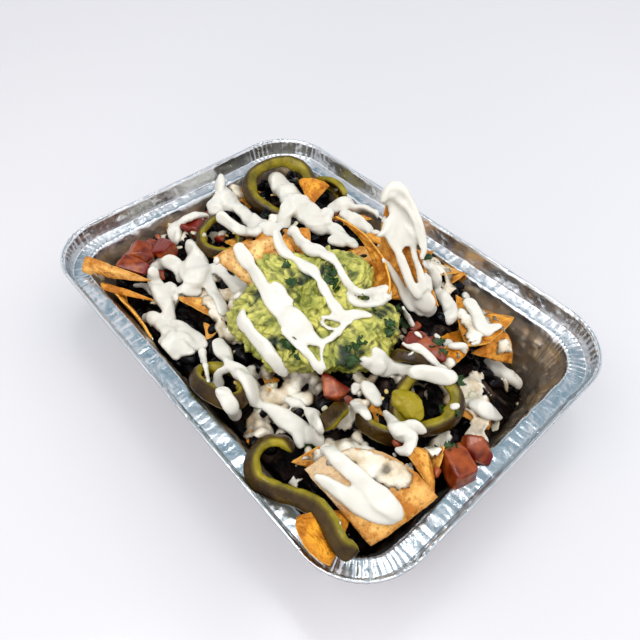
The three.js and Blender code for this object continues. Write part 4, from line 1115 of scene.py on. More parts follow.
mash_bump = add("Bump", {"Strength": 1.0, "Distance": 0.0014, "Height": mash})
fill_inputs(shader, {"Base Color": herbed, "Normal": mash_bump, "Roughness": 0.3, "Coat Weight": 0.2,
                     "Coat Roughness": 0.15, "Subsurface Weight": 0.15,
                     "Subsurface Radius": (0.9, 0.9, 0.25), "Subsurface Scale": 0.0015})

# %% The mound
shape, crease_values, tint_values, herb_values = guacamole_mound()
guacamole = make_piece("mashed_guacamole", shape, mashed_avocado, ["guacamole"], "guacamole",
                       crease=crease_values, tint=tint_values, herbs=herb_values)
print("guacamole:", triangle_count(guacamole), "triangles")

# %% [markdown]
# ## What lies under a place
# Loose toppings have to lie on what is there. A map with cells of one millimetre holds the highest
# point of all pieces so far, and is made by throwing every point of their meshes into its cell.

# %% A map of heights
MAP_HALF = (110, 80)  # mm, with one cell to a millimetre


def neighbours(cells):
    """Nine copies of a map, each moved by one cell or none, so a cell lies under all its neighbours."""
    rows, columns = cells.shape
    padded = np.pad(cells, 1, mode="edge")
    return np.array([padded[a:a + rows, b:b + columns] for a in range(3) for b in range(3)])


def height_map(pieces):
    """The highest z of the pieces' points in each 1 mm cell. Empty cells take the highest of their
    neighbours."""
    cells = np.full((2 * MAP_HALF[0], 2 * MAP_HALF[1]), -1.0)
    for piece in pieces:
        x, y, z = points_of(piece).T
        i, j = (x + MAP_HALF[0]).astype(int), (y + MAP_HALF[1]).astype(int)
        inside = (i >= 0) & (j >= 0) & (i < cells.shape[0]) & (j < cells.shape[1])
        np.maximum.at(cells, (i[inside], j[inside]), z[inside])
    for _ in range(3):
        cells = np.where(cells < 0, neighbours(cells).max(0), cells)
    return cells


def height_at(cells, x, y):
    """The map's height at places, from the cell they fall in."""
    i = np.clip((np.asarray(x) + MAP_HALF[0]).astype(int), 0, cells.shape[0] - 1)
    j = np.clip((np.asarray(y) + MAP_HALF[1]).astype(int), 0, cells.shape[1] - 1)
    return cells[i, j]


def inside_tray(x, y, z, margin):
    """True where a place is at least a margin inside the tray's sloping wall, corners included."""
    radius, half = rounded(wall_inset(z) + margin)
    over = np.maximum(np.abs(np.stack([x, y], -1)) - half, 0)
    return np.hypot(over[..., 0], over[..., 1]) < radius


ground = height_map([core])
print("highest point of the core:", ground.max().round(1), "mm")

# %% [markdown]
# ## Black beans
# A cooked black bean is a dark glossy kidney, 8 to 11 mm long. A ball is made longer, and its middle
# is bent to one side.

# %% Black beans


def bean_shape():
    """A ball made kidney-shaped: moved across by 0.32 x^2 - 0.12, and flattened a little on one side."""
    points, faces = unit_ball(8, 12)
    bent = points.copy()
    bent[:, 1] = points[:, 1] * (1 - 0.1 * (points[:, 1] < 0)) + 0.32 * points[:, 0] ** 2 - 0.12
    return bent, faces


def random_places(count, rng, margin):
    """Random places inside the tray, kept clear of its wall."""
    x, y = rng.uniform(-96, 96, count * 2), rng.uniform(-66, 66, count * 2)
    keep = inside_tray(x, y, bed_height(x, y), margin)
    return x[keep][:count], y[keep][:count]


rng = np.random.default_rng(5)
x, y = random_places(300, rng, 3.0)
z = height_at(ground, x, y) + rng.uniform(-0.6, 1.8, len(x))
BEAN_HALF = ((4.2, 5.4), (2.7, 3.3), (2.3, 2.9))  # mm, least and most half length, width and height
bean_size = np.stack([rng.uniform(least, most, len(x)) for least, most in BEAN_HALF], -1)
beans = scattered(bean_shape(), np.stack([x, y, z], -1), bean_size, random_turns(len(x), rng, 0.7))

# %% Black bean skin
# Nearly black with a purple-brown cast, smooth and wet.
bean_skin, add, shader, place = new_material("black_bean_skin")
cast = add("TexNoise", {"Vector": place, "Scale": grains(5), "Detail": 3})
cast_range = add("MapRange", {"Value": cast, "From Min": 0.4, "From Max": 0.7})
skin_colour = add("Mix", {"Factor": cast_range, 6: colour("#050407"), 7: colour("#181014")},
                  data_type="RGBA")
fill_inputs(shader, {"Base Color": skin_colour, "Roughness": 0.2, "Specular IOR Level": 0.2})
black_beans = make_piece("black_beans", beans, bean_skin, slot="black_bean")
print("black beans:", len(x), "with", triangle_count(black_beans), "triangles")

# %% [markdown]
# ## Buried chips
# More chips stand in the heap, with only a corner or an edge out of it. Each is made as the others
# are, from three corners: one stands out of the heap, and two lie deep in it.

# %% Chips buried in the heap
# x, y of the free corner, the way the chip goes down, its length, how far it stands out, and its tone.
BURIED_CHIPS = [
    (-22, 60, 3.6, 34, 7, 0.3), (-3, 61, -1.2, 36, 8, 0.1), (17, 62, 4.2, 34, 6, 0.4),
    (36, 63, -2.2, 30, 7, 0.2), (-44, 63, 4.9, 30, 4, 0.3), (-97, 24, 0.3, 34, 6, 0.2),
    (-90, 8, 0.9, 30, 3, 0.5), (-46, -6, 2.6, 34, 6, 0.2), (-36, 30, 4.4, 32, 5, 0.3),
    (-55, 13, -0.6, 30, 4, 0.1), (72, 56, 3.4, 30, 5, 0.3), (57, 64, 4.0, 30, 6, 0.1),
    (33, -64, 1.9, 30, 2, 0.2), (-98, -18, 0.2, 34, 3, 0.3), (-5, -63, 1.2, 30, 2, 0.1),
    (24, -44, 2.4, 30, 3, 0.3), (-30, -60, 1.6, 30, 2, 0.2), (60, 31, 2.6, 30, 4, 0.0),
    (-14, 42, 1.0, 32, 8, 0.2), (8, 47, 3.9, 30, 6, 0.4), (-92, -44, 0.8, 26, 4, 0.3),
    (98, -40, 2.6, 26, 1, 0.2), (50, -20, 0.4, 24, 2, 0.2), (30, 44, 2.0, 30, 6, 0.15)
]
buried_shapes, buried_rims, buried_tones = [], [], []
# Two broken pieces that stand free at the left: their three corners.
BROKEN_PIECES = [[[-67.5, -60, 45], [-64.5, -58.5, 45], [-63, -62, 34]],
                 [[-26.5, -41.5, 43], [-17.5, -38.5, 44], [-18.5, -46, 41]]]
for number, corners in enumerate(BROKEN_PIECES):
    shape, distance = chip_shape(corners, [0.5, 0, 0.5], seed=560 + 10 * number, steps=14)
    buried_shapes.append(shape)
    buried_rims.append(distance)
    buried_tones.append(np.full(len(distance), 0.3))
for number, (x, y, heading, length, rise, tone_value) in enumerate(BURIED_CHIPS):
    top = float(bed_height(x, y)) + rise
    spread = 0.42 + 0.1 * (number % 3)
    deep = [[x + length * np.cos(heading + turn), y + length * np.sin(heading + turn), top - length * drop]
            for turn, drop in ((-spread, 0.5), (spread, 0.34 + 0.06 * (number % 2)))]
    shape, distance = chip_shape([[x, y, top], *deep], [1.5, -1, 1], seed=600 + 10 * number, steps=26)
    shape[0][:, 2] = np.maximum(shape[0][:, 2], 8)
    buried_shapes.append(shape)
    buried_rims.append(distance)
    buried_tones.append(np.full(len(distance), tone_value))
buried = make_piece("corn_chips_in_heap", joined(buried_shapes), fried_corn, slot="corn_chip",
                    rim=np.concatenate(buried_rims), tone=np.concatenate(buried_tones))
print("buried chips:", len(BURIED_CHIPS), "with", triangle_count(buried), "triangles")

# %% [markdown]
# ## Melted cheese
# White cheese melted over the heap, sagged into its hollows and set again as a soft, uneven sheet. So it
# is a sheet draped on the map of heights: one grid of points over the tray, thick in the middle of each
# patch and thin at its ragged edge. Only the faces inside the patches are kept, and Solidify closes them.

# %% The patches of cheese
# x, y, z and half width along each run of cheese, in mm.
CHEESE = [
    [[64.5, -46, 58, 3.2], [69, -43, 57.5, 4.2], [73, -40.5, 57, 4.6], [77, -38, 56.5, 4.3],
     [80.5, -36.5, 56, 3.6], [85, -35.5, 55.5, 2.4]],
    [[68, -39, 58, 3.6], [73, -36, 57.5, 4], [78, -33.5, 57, 3.4], [84, -31.5, 56.5, 2.2]],
    [[58, -47, 52, 2.6], [61, -42, 50, 3.2], [63, -37, 50, 3.4], [68, -33, 50, 3]],
    [[56, -58, 53, 1.9], [60, -59, 54, 1.9]],
    [[55, -40, 46, 2.3], [59, -39, 46, 2.6], [61, -35, 48, 2.6], [61, -33, 52, 2.2]],
    [[25, -41, 46, 2.4], [26, -38, 47, 2.8], [30, -35, 47, 2.8], [34, -34, 47, 2.4]],
    [[22, -47, 44, 2], [26, -47, 44, 2.4], [30, -45, 44, 2]],
    [[52, -30, 52, 1.9], [50, -24, 51, 2.3], [52, -21, 48, 2.3]],
    [[68, 12, 53, 3.5], [71, 16, 49, 4.4], [74, 18, 47, 4.9], [74, 27, 42, 4.2], [69, 32, 42, 3.4]],
    [[76, 10, 49, 3.9], [81, 9, 51, 3.8], [81, 14, 50, 3.5]],
    [[78, 3, 47, 2.3], [82, 3, 50, 2.7], [87, 5, 49, 3], [90, 7, 49, 3], [91, 11, 47, 2.3]],
    [[72, 44, 48, 2.5], [76, 45, 44, 3], [80, 44, 42, 2.5]],
    [[79, -15, 51, 2.2], [83, -15, 50, 2.6], [82, -9, 47, 2.2], [81, -5, 47, 1.9]],
    [[-34, -28, 57, 3.5], [-30, -25, 63, 3.5], [-25, -24, 65, 3.4], [-18, -25, 65, 3.8], [-9, -29, 66, 3.3],
     [-8, -33, 65, 2.8]],
    [[-37, -28, 49, 2.7], [-31, -32, 48, 3.2], [-21, -35, 52, 3], [-10, -36, 60, 2.5]],
    [[-49, -43, 46, 2.3], [-49, -38, 44, 2.8], [-45, -35, 43, 2.8], [-43, -30, 44, 2.3]],
    [[-55, -47, 38, 2.8], [-55, -53, 38, 2.3]],
    [[-22, 10, 71, 2.7], [-16, 12, 70, 3.1], [-19, 21, 64, 3.2], [-18, 26, 60, 2.8]],
    [[-56, 19, 47, 3.1], [-55, 26, 48, 3.6], [-54, 33, 48, 3.6]],
    [[-71, -7, 50, 3], [-68, -4, 46, 3]],
    [[54, 42, 50, 2.6], [60, 39, 51, 2.5], [63, 30, 54, 2.5]],
    [[20, 56, 51, 2.8], [26, 54, 51, 3.3], [33, 52, 49, 2.8]],
    [[40, 45, 48, 2.2], [46, 43, 49, 2.2]],
]
CHEESE_CELL = 0.8  # mm between the points of the sheet
CHEESE_RISE = 2.3  # mm that a patch's middle stands over its edge
CHEESE_THICKNESS = 0.9  # mm
CHEESE_STEEPEST = 2.2  # rise over run above which the sheet has torn
CHEESE_SPREAD = 1.55  # how far a patch reaches, in half widths


def softened(cells, times):
    """The map with every cell made the mean of itself and its eight neighbours, so many times."""
    for _ in range(times):
        cells = neighbours(cells).mean(0)
    return cells


def cheese_fill(x, y, runs):
    """1 in the middle of a patch, 0 at its edge: the greatest of 1 - (distance / reach)^2 over the places
    of a run, or, away from the runs, of a coarse noise. Two finer noises make the edge ragged and open
    small holes."""
    fill = np.full(x.shape, -1.0)
    for place_x, place_y, half_width in runs:
        away = ((x - place_x) ** 2 + (y - place_y) ** 2) / (half_width * CHEESE_SPREAD) ** 2
        fill = np.maximum(fill, 1 - away)
    place = np.stack([x, y, 0 * x], -1)
    fill = np.maximum(fill, 1.5 * noise(place, 15, 51) - 0.85)
    return fill + 0.75 * noise(place, 4.2, 52) + 0.45 * noise(place, 1.9, 53)


def cheese_sheet(cells, runs):
    """The height is the softened map, plus a thickness that grows with the fill to the power 0.75, plus
    small lumps. Faces that are too steep have torn. Returns points, faces and how thick each point is."""
    x, y = np.meshgrid(np.arange(-100, 100, CHEESE_CELL), np.arange(-70, 70, CHEESE_CELL), indexing="ij")
    fill = cheese_fill(x, y, runs)
    i, j = x + MAP_HALF[0] - 0.5, y + MAP_HALF[1] - 0.5
    low_i, low_j = np.floor(i).astype(int), np.floor(j).astype(int)
    part_i, part_j = i - low_i, j - low_j
    base = sum(cells[low_i + a, low_j + b] * (part_i if a else 1 - part_i) * (part_j if b else 1 - part_j)
               for a in (0, 1) for b in (0, 1))
    place = np.stack([x, y, base], -1)
    crack, lump = chunks(place, 4.2, 54)
    z = base + CHEESE_RISE * np.clip(fill, 0, 1) ** 0.75 - CHEESE_THICKNESS
    z = z + 0.3 * lump * smooth_step(0, 0.35, crack) + 0.35 * noise(place, 1.8, 55)
    steep = np.hypot(*np.gradient(z, CHEESE_CELL))
    keep = (fill > 0) & inside_tray(x, y, z, 1.2) & (steep < CHEESE_STEEPEST)
    faces = grid_faces(*x.shape, wrap=False)
    faces = faces[keep.ravel()[faces].all(1)]
    used, faces = np.unique(faces, return_inverse=True)
    points = np.stack([x, y, z], -1).reshape(-1, 3)[used]
    return points, [faces.reshape(-1, 4)], np.clip(fill, 0, 1).ravel()[used]


# %% Melted white cheese
# Greyish and see-through where it is thin and wet, creamier where it is thick, faintly brown where it
# took up fat and chilli.
melted_white, add, shader, place = new_material("melted_white_cheese")
cloud = add("TexNoise", {"Vector": place, "Scale": grains(5), "Detail": 4, "Roughness": 0.6})
cloud_range = add("MapRange", {"Value": cloud, "From Min": 0.36, "From Max": 0.66})
milky = add("Mix", {"Factor": cloud_range, 6: colour("#c2b092"), 7: colour("#efeadd")}, data_type="RGBA")
thick = add("Attribute", attribute_name="thick").outputs["Fac"]
thin_part = add("MapRange", {"Value": thick, "From Min": 0.75, "From Max": 0.25, "To Max": 0.85})
cheese_colour = add("Mix", {"Factor": thin_part, 6: milky, 7: colour("#5e5446")}, data_type="RGBA")
skin_noise = add("TexNoise", {"Vector": place, "Scale": grains(1.3), "Detail": 4, "Distortion": 0.6})
skin_bump = add("Bump", {"Strength": 0.5, "Distance": 0.001, "Height": skin_noise})
fill_inputs(shader, {"Base Color": cheese_colour, "Normal": skin_bump, "Roughness": 0.26,
                     "Subsurface Weight": 0.4, "Subsurface Radius": (1.0, 0.85, 0.65),
                     "Subsurface Scale": 0.002})

# %% The sheet of cheese
high_chips = ("corn_chip_tall", "corn_chip_curl", "corn_chip_guac_left", "corn_chip_back_small")
chips_made = [piece for piece in made if "corn_chip" in piece.name and piece.name not in high_chips]
cheese_base = softened(height_map([core, black_beans, *chips_made]), 2)
cheese_runs = np.concatenate([even_path(places, 1.5) for places in CHEESE])[:, [0, 1, 3]]
points, faces, thickness = cheese_sheet(cheese_base, cheese_runs)
cheese = make_piece("melted_cheese", (points, faces), melted_white, slot="melted_cheese", thick=thickness)
with_modifiers(cheese, ("SMOOTH", {"factor": 0.5, "iterations": 2}),
               ("SOLIDIFY", {"thickness": CHEESE_THICKNESS * MM, "offset": -1}))
print("cheese:", len(points), "points on its top,", triangle_count(cheese), "triangles")

# %% [markdown]
# ## Sour cream
# The cream was poured from a bottle, so it lies in strokes that swell, thin out and run into each
# other. Each stroke is a row of flattened balls, a third of their radius apart, along a smooth path,
# and each ball lies on the slope of the food below it. Remesh then makes one skin round all balls, and
# Smooth lets the strokes melt together. The strokes on the tall chip are apart, because they hang on
# its face and are never brought down to what lies under them.

# %% The strokes of cream
# x, y, z and half width along each stroke, in mm.
CREAM = [
    # left corner
    [[-74.5, -50, 34.5, 1.4], [-71, -47.5, 35.5, 1.6], [-66.5, -46.5, 36.5, 2.1], [-63, -45.5, 37, 3.2]],
    [[-65, -43, 46.5, 2.6], [-64.5, -44, 42, 3.1], [-61, -44.5, 40, 4.5], [-56, -44.5, 39.5, 5],
     [-51, -46, 40, 4.1], [-47, -47.5, 39.5, 3.3], [-44.5, -49, 38, 2.8], [-42.5, -50, 35.5, 2.5]],
    [[-72, -39.5, 41, 3], [-72.5, -35.5, 41, 3.2], [-68, -33, 44.5, 3.5], [-65.5, -31, 42.5, 3.2],
     [-60.5, -32, 42.5, 2.4], [-58.5, -33.5, 40, 1.9]],
    [[-57, -41, 41, 3.1], [-51.5, -41, 42, 2.3], [-44, -44, 46, 1.5]],
    [[-71.5, -18.5, 45, 2.5], [-68, -19.5, 44, 3.8], [-63.5, -21, 43.5, 4.9], [-58, -23.5, 43.5, 5.6],
     [-51, -27.5, 46, 5.5], [-47.5, -30.5, 46, 4.1]],
    [[-61, -27, 44, 3.2], [-57.5, -30, 43.5, 3.2], [-49.5, -32.5, 46.5, 3.1]],
    [[-49, -38, 44.5, 2], [-46, -36.5, 44.5, 2.8], [-44, -33.5, 43, 2.6]],
    [[-82.5, -1.5, 47, 2.3], [-80.5, -8, 51.5, 2.5], [-82, -13.5, 50.5, 2.8], [-85.5, -17.5, 46.5, 3.4],
     [-82.5, -20, 45.5, 3.9], [-77, -22, 46.5, 3]],
    [[-53, -21.5, 44, 1.9], [-47.5, -24.5, 44.5, 2.4], [-42, -27, 44.5, 2.6], [-37, -28.5, 44, 2.5],
     [-31, -29.5, 45, 2.8], [-26, -31.5, 46.5, 3], [-21.5, -34, 48.5, 1.9]],
    [[-51, -19, 44.5, 2.1], [-46, -18.5, 45, 2.1], [-39, -19, 46.5, 2.6], [-35.5, -18, 45, 3.4],
     [-30.5, -18, 45, 3.6]],
    [[-16.5, -28, 59, 2.3], [-16, -28, 59, 2.3]],
    [[-53, -57, 34.5, 2.3], [-48.5, -55.5, 37.5, 3.3], [-45, -54.5, 36.5, 3.5], [-39.5, -54.5, 37, 3.3],
     [-32.5, -55.5, 39.5, 3.4], [-27.5, -56, 40, 3.4], [-20.5, -56.5, 41.5, 3.3], [-16.5, -55, 43, 2.3]],
    [[-28, -59.5, 40.5, 2.7], [-24.5, -60, 39, 2.6], [-20, -59.5, 40.5, 2.4]],
    [[-40, -50.5, 37, 2], [-36, -49, 38, 2.5], [-30, -49, 39.5, 2.7], [-26, -48, 39, 2.9],
     [-21.5, -47.5, 39, 3.2], [-17, -48, 41, 2.2]],
    [[-28.5, -53, 41, 2.4], [-24, -52, 40.5, 2.9], [-19, -51.5, 40.5, 2.9]],
    [[-34, -57, 38, 2.9], [-31.5, -60.5, 39, 1.9]],
    # back
    [[-101.5, 20.5, 49, 4.1], [-98, 18.5, 47.5, 5.2], [-93.5, 16, 45.5, 6], [-87.5, 14, 45.5, 6.2],
     [-83.5, 16, 44, 4.8], [-76.5, 17, 43.5, 3.7], [-69.5, 16.5, 43, 3.9], [-62, 15.5, 43.5, 4.9],
     [-53, 15.5, 47, 4.6], [-50.5, 18, 46, 4.3]],
    [[-88.5, 8.5, 46, 4.8], [-83, 5.5, 45.5, 4.5]],
    [[-66.5, -1, 55, 3.5], [-60.5, 0.5, 53, 3], [-56, 2, 52, 2.9], [-57, 7, 48, 3], [-53, 9.5, 48.5, 3]],
    [[-82.5, 45.5, 46, 4.2], [-75, 44.5, 45.5, 5.5], [-65.5, 42, 46.5, 6.5], [-54, 38, 50, 6.8],
     [-49.5, 39, 47.5, 6.8], [-43, 38, 47, 6.2], [-36.5, 36, 47.5, 4.6], [-34, 36.5, 45.5, 2.5]],
    [[-54, 32, 51, 5.1], [-53, 27.5, 49, 4.1], [-50.5, 25, 46.5, 3.6]],
    [[-24.5, 8.5, 68.5, 2.2], [-24, 8.5, 68.5, 2.2]],
    [[-44.5, 53.5, 45, 3.7], [-42, 57.5, 47, 4.2], [-39, 62, 46.5, 4.2], [-34.5, 64, 46, 3.7],
     [-29.5, 66.5, 47, 2.6], [-24, 67, 47, 2.3]],
    [[4.5, 37, 77.5, 1.5], [5, 37, 77.5, 1.5]],
    [[-35.5, 53.5, 47, 3.1], [-28.5, 53, 47.5, 3.6], [-23.5, 54.5, 46, 3.1], [-17.5, 54, 47, 2.8],
     [-11, 51, 51.5, 2]],
    [[-41.5, 47, 48, 3.1], [-35, 40, 49, 3], [-32, 39.5, 46, 2.5]],
    [[-30.5, 41, 47, 3.3], [-25.5, 41, 46.5, 3.8], [-19, 40.5, 47, 3], [-14, 40.5, 47, 1.7]],
    [[-24, 35, 47.5, 3], [-20, 37, 47, 2.2]],
    # below the tall chip
    [[27, 40.5, 65, 1.7], [27, 45.5, 59, 2.4], [30.5, 45.5, 56.5, 2.4], [31, 47, 50.5, 2.3]],
    [[31, 38, 61, 2.4], [33.5, 37, 59, 2.6]],
    [[33.5, 46, 48.5, 2.3], [38.5, 45, 48.5, 3.1], [42.5, 44, 47, 3.4], [46, 40, 47.5, 2.9],
     [47.5, 37.5, 46.5, 1.5]],
    [[29, 33, 57, 2.4], [32.5, 32.5, 55, 3.5], [36.5, 33, 53.5, 3.9], [38, 34.5, 49.5, 2.9],
     [39, 33, 47.5, 1.3]],
    [[30, 30, 54, 2.2], [33, 30, 51, 2.4], [36.5, 31, 48.5, 1.8]],
    [[16, 26, 68.5, 1.2], [17.5, 28, 65, 1.8], [20.5, 28.5, 61.5, 1.8], [24, 29, 58, 1.8],
     [27, 28.5, 55.5, 2], [30, 28, 53, 2], [33, 28.5, 50.5, 1.8]],
    [[36, 18, 61, 1.2], [36, 22, 53, 1.3], [39, 22.5, 49, 1.3]],
    [[48.5, 12.5, 60.5, 1.2], [50.5, 13, 59.5, 0.8]],
    # right
    [[40, 60, 41, 2.1], [40.5, 60, 41, 2.1]],
    [[49, 48.5, 52, 3.1], [53, 47, 51.5, 2.6], [57, 44.5, 51.5, 2.6], [60.5, 41.5, 52, 3.4],
     [63, 41.5, 51, 2.7], [63.5, 45, 51, 2.1], [65, 48, 51.5, 1.4]],
    [[67, 43.5, 32, 1.6], [69.5, 44.5, 32, 2.7], [73.5, 44.5, 31, 3.1], [77, 45, 31, 3.3],
     [80.5, 47.5, 29, 3.2], [83, 47.5, 28, 2.3]],
    [[81.5, 9, 51.5, 1.9], [84, 10, 51.5, 3], [86.5, 11, 51, 3.5], [88.5, 14.5, 47, 2.9],
     [89.5, 18.5, 41.5, 1.8]],
    [[79, -1, 57.5, 1.4], [80, 0, 58, 1.2]],
    [[54, 29.5, 44.5, 2.1], [54.5, 29.5, 44.5, 2.1]],
    [[62, 20.5, 58.5, 3.2], [63.5, 22.5, 58.5, 2.8], [65.5, 22.5, 57, 1.5]],
    [[49.5, 26.5, 48, 1.4], [50, 26.5, 48, 1.4]],
    [[64.5, 30, 54, 1.1], [65.5, 32.5, 54, 1.1]],
    # middle
    [[43, -5.5, 59, 1.9], [45.5, -5, 56.5, 3.2], [47.5, -4.5, 53, 4.2], [49, -2.5, 51.5, 3.6],
     [51, 0, 51.5, 2.5], [55, 0.5, 53, 2.5], [60, -1.5, 59.5, 2.8], [62.5, 1, 59.5, 3],
     [65.5, 2.5, 60, 3.3], [68.5, 4, 60.5, 3.5], [71, 5.5, 61, 3.2], [71, 8, 60.5, 2.1]],
    [[43, -11.5, 58, 2], [44.5, -9, 55.5, 2.4], [47, -7.5, 54.5, 3.1]],
    [[47.5, 6, 58.5, 1], [50, 6.5, 58.5, 1.2], [52.5, 8, 59, 2.1], [56, 8.5, 59, 1.9], [59, 8.5, 59, 1.7],
     [62.5, 8, 59, 1.7], [67, 6.5, 61, 1.9]],
    [[53, 3, 59, 0.7], [53.5, 4.5, 60, 0.9]],
    [[44.5, -17, 47.5, 1.8], [45.5, -18.5, 46.5, 1.5]],
    [[46.5, -14, 49, 1.5], [49, -14, 48, 2.6], [52.5, -14.5, 47, 2.7], [55.5, -15.5, 47.5, 1.9]],
    [[50, -23.5, 48.5, 1.5], [53, -24, 50, 2.2], [58, -26, 55, 2.3], [60.5, -26.5, 55, 1.7]],
    [[62, -18.5, 51, 1.5], [65.5, -19.5, 52, 2.2], [70.5, -22.5, 56.5, 2.7], [73, -22.5, 56, 3]],
    [[73, -22.5, 56, 2.7], [73.5, -18, 55, 2.5], [75, -16, 54, 2.5], [77, -14.5, 53, 1.6]],
    [[74.5, -22, 55, 2.9], [76.5, -21, 55.5, 2.7], [79, -24.5, 56.5, 2.3], [80, -26.5, 57, 2.1]],
    [[80, -26.5, 57, 1.7], [78, -27.5, 55.5, 1.7], [75.5, -27.5, 54.5, 1]],
    # left ring
    [[-12, -51.5, 45, 1.9], [-8.5, -53.5, 45.5, 1.7], [-1, -56.5, 50.5, 1.2], [2, -58, 49.5, 1.1],
     [8.5, -61, 54.5, 0.8]],
    [[-11, -44, 45, 2.8], [-7.5, -45, 45, 3.4], [-2.5, -46, 46.5, 2.7], [4.5, -48.5, 50, 2],
     [10, -48.5, 51.5, 2.8], [16, -49, 53, 3.5], [20, -49.5, 51.5, 3.7], [22, -50.5, 48, 3.2],
     [24.5, -50, 45.5, 1.8]],
    [[3.5, -54.5, 47, 1.8], [5, -55.5, 44, 2.9]],
    [[17, -60, 56, 3], [20, -60.5, 55, 2.8], [22.5, -60.5, 53, 2.8], [21, -59, 44.5, 2.7],
     [20.5, -58.5, 40.5, 1.6]],
    [[5, -51, 49, 1.6], [3.5, -53, 48, 1.6]],
    # front
    [[25.5, -49, 45, 1.4], [28, -47.5, 44, 2], [31, -46.5, 43.5, 3.1], [35, -45.5, 42.5, 3.7],
     [39, -44.5, 42.5, 3.9], [42.5, -43.5, 41, 4.3], [45.5, -42.5, 40.5, 3.5]],
    [[30, -40, 45, 1.4], [32.5, -39, 45, 2], [35, -37.5, 45, 1.8], [36.5, -37, 44, 1.2]],
    [[39.5, -37, 44, 2.2], [43, -37.5, 46, 2.9], [49, -41, 52, 2.2], [51.5, -41.5, 50.5, 1.8]],
    [[44.5, -46.5, 42, 2.5], [47, -48, 41.5, 1.7]],
    [[46.5, -41.5, 42, 3.1], [50.5, -41.5, 42, 3.1]],
    [[61, -47, 58.5, 2.6], [66.5, -48.5, 62, 2.7], [71, -48, 61, 2.9], [75.5, -47.5, 61, 3],
     [79.5, -47, 59.5, 3.2], [84, -46.5, 58.5, 3.4], [88, -46, 58, 3.4], [90.5, -45.5, 57, 3.2],
     [92.5, -45, 55.5, 2.1]],
    [[66.5, -57, 58.5, 1.3], [69, -56, 58.5, 1.9], [72.5, -55, 58, 2.3], [76.5, -54, 58, 2.5],
     [80, -53, 57, 2.7], [83.5, -52, 56.5, 2.9], [86.5, -50.5, 56, 2.8], [89.5, -49, 56, 2.6],
     [92, -47.5, 55, 1.8]],
    [[82.5, -61.5, 62, 0.6], [84, -63, 62.5, 0.8]],
    [[82, -65.5, 61, 0.4], [82.5, -65.5, 61.5, 0.4]],
    [[83.5, -67.5, 60.5, 0.4], [84, -67.5, 60, 0.4]],
    [[82.5, -56.5, 38.5, 0.5], [83.5, -56.5, 39, 0.5]],
    [[22.5, -56.5, 38, 0.5], [22.5, -56.5, 38, 0.5]],
    # guacamole
    [[-37, -24, 62, 2], [-36.5, -24, 62, 2]],
    [[-47.5, -17, 46, 2], [-44.5, -16.5, 45, 1.3]],
    [[-29, -16.5, 70.5, 2.5], [-24.5, -17.5, 69.5, 2.9], [-18, -18.5, 68.5, 2.9], [-10, -21, 70, 2.8],
     [-4, -22.5, 69.5, 2.7], [0.5, -24, 68.5, 2.7], [5, -24, 67.5, 3.4], [10, -23.5, 66.5, 4],
     [15.5, -23.5, 67, 4.3], [20, -23, 65, 4.1], [24, -22.5, 64, 3.3], [27, -21.5, 63.5, 2.1]],
    [[-1, -19.5, 71.5, 1.7], [2, -19, 71, 2.1], [5, -19.5, 69.5, 1.9], [8, -19, 68.5, 1.6]],
    [[14.5, -29, 65.5, 0.9], [17, -28.5, 65, 1.5], [21, -28, 63.5, 1.5], [25.5, -27.5, 62.5, 1.7],
     [29, -27, 61, 1.7], [33, -27.5, 59, 1.6], [35, -27, 57, 1.3]],
    [[29.5, -21, 63.5, 1.2], [31, -23, 62, 0.9], [33, -24.5, 60.5, 0.9], [35.5, -25.5, 58.5, 1]],
    [[-4, -34.5, 63.5, 1.8], [-1.5, -36.5, 63, 2.5], [3, -37, 62.5, 2.7], [8.5, -37.5, 61.5, 2.8],
     [13.5, -37, 60, 3], [18.5, -37.5, 59, 3], [21.5, -36.5, 55.5, 2.7], [23, -35.5, 51.5, 1.7]],
    [[-20.5, -2, 74.5, 2.8], [-16, -4, 73, 3.1], [-10, -5.5, 73, 2.8], [-7, -4.5, 73, 2.4],
     [-2.5, -4, 72.5, 2.6], [2, -4, 72.5, 2.7], [5, -4, 73.5, 2.4], [9.5, -5, 73, 1.7],
     [14.5, -6.5, 72, 1.9], [19, -7.5, 70.5, 2.2], [24, -8.5, 70, 2.3], [26, -7.5, 67.5, 1.9]],
    [[-23, 9.5, 70, 1.7], [-18.5, 7.5, 69, 2.6], [-12.5, 6.5, 69.5, 2.9], [-5.5, 5.5, 72, 3.1],
     [1, 5, 75, 2.8], [6, 4.5, 76.5, 2.2], [10, 4.5, 75.5, 1.7], [15, 2.5, 75, 1.7], [18.5, 2.5, 72.5, 1.9],
     [21.5, 4, 70, 1.7], [24.5, 6, 69.5, 1.5], [24.5, 13, 65.5, 1.9], [26, 17, 65, 1.9],
     [29.5, 16, 64, 1.5]],
    [[20, 1, 69, 1], [22.5, 1, 67, 1.5], [25.5, 2.5, 66.5, 1.7], [27.5, 7, 64.5, 1.9],
     [28.5, 11.5, 63.5, 1.9], [27, 17.5, 60, 1.7]],
    [[22, -14.5, 68, 1], [24, -12.5, 68.5, 1.2], [26.5, -10, 68, 1.5], [27.5, -7, 67.5, 1.9],
     [29, -4, 67.5, 2.2], [30.5, -1, 67, 2.2], [32.5, 1, 66.5, 1.5]],
    [[22.5, -15.5, 66.5, 0.9], [25.5, -15, 65.5, 0.9], [28.5, -13.5, 66, 0.7], [29.5, -10.5, 66.5, 0.9],
     [30.5, -7.5, 67.5, 1.1]],
    [[30.5, -10.5, 66.5, 0.7], [30.5, -13.5, 65.5, 1], [29.5, -17, 64, 1.4], [28.5, -20.5, 63.5, 1.7]],
]
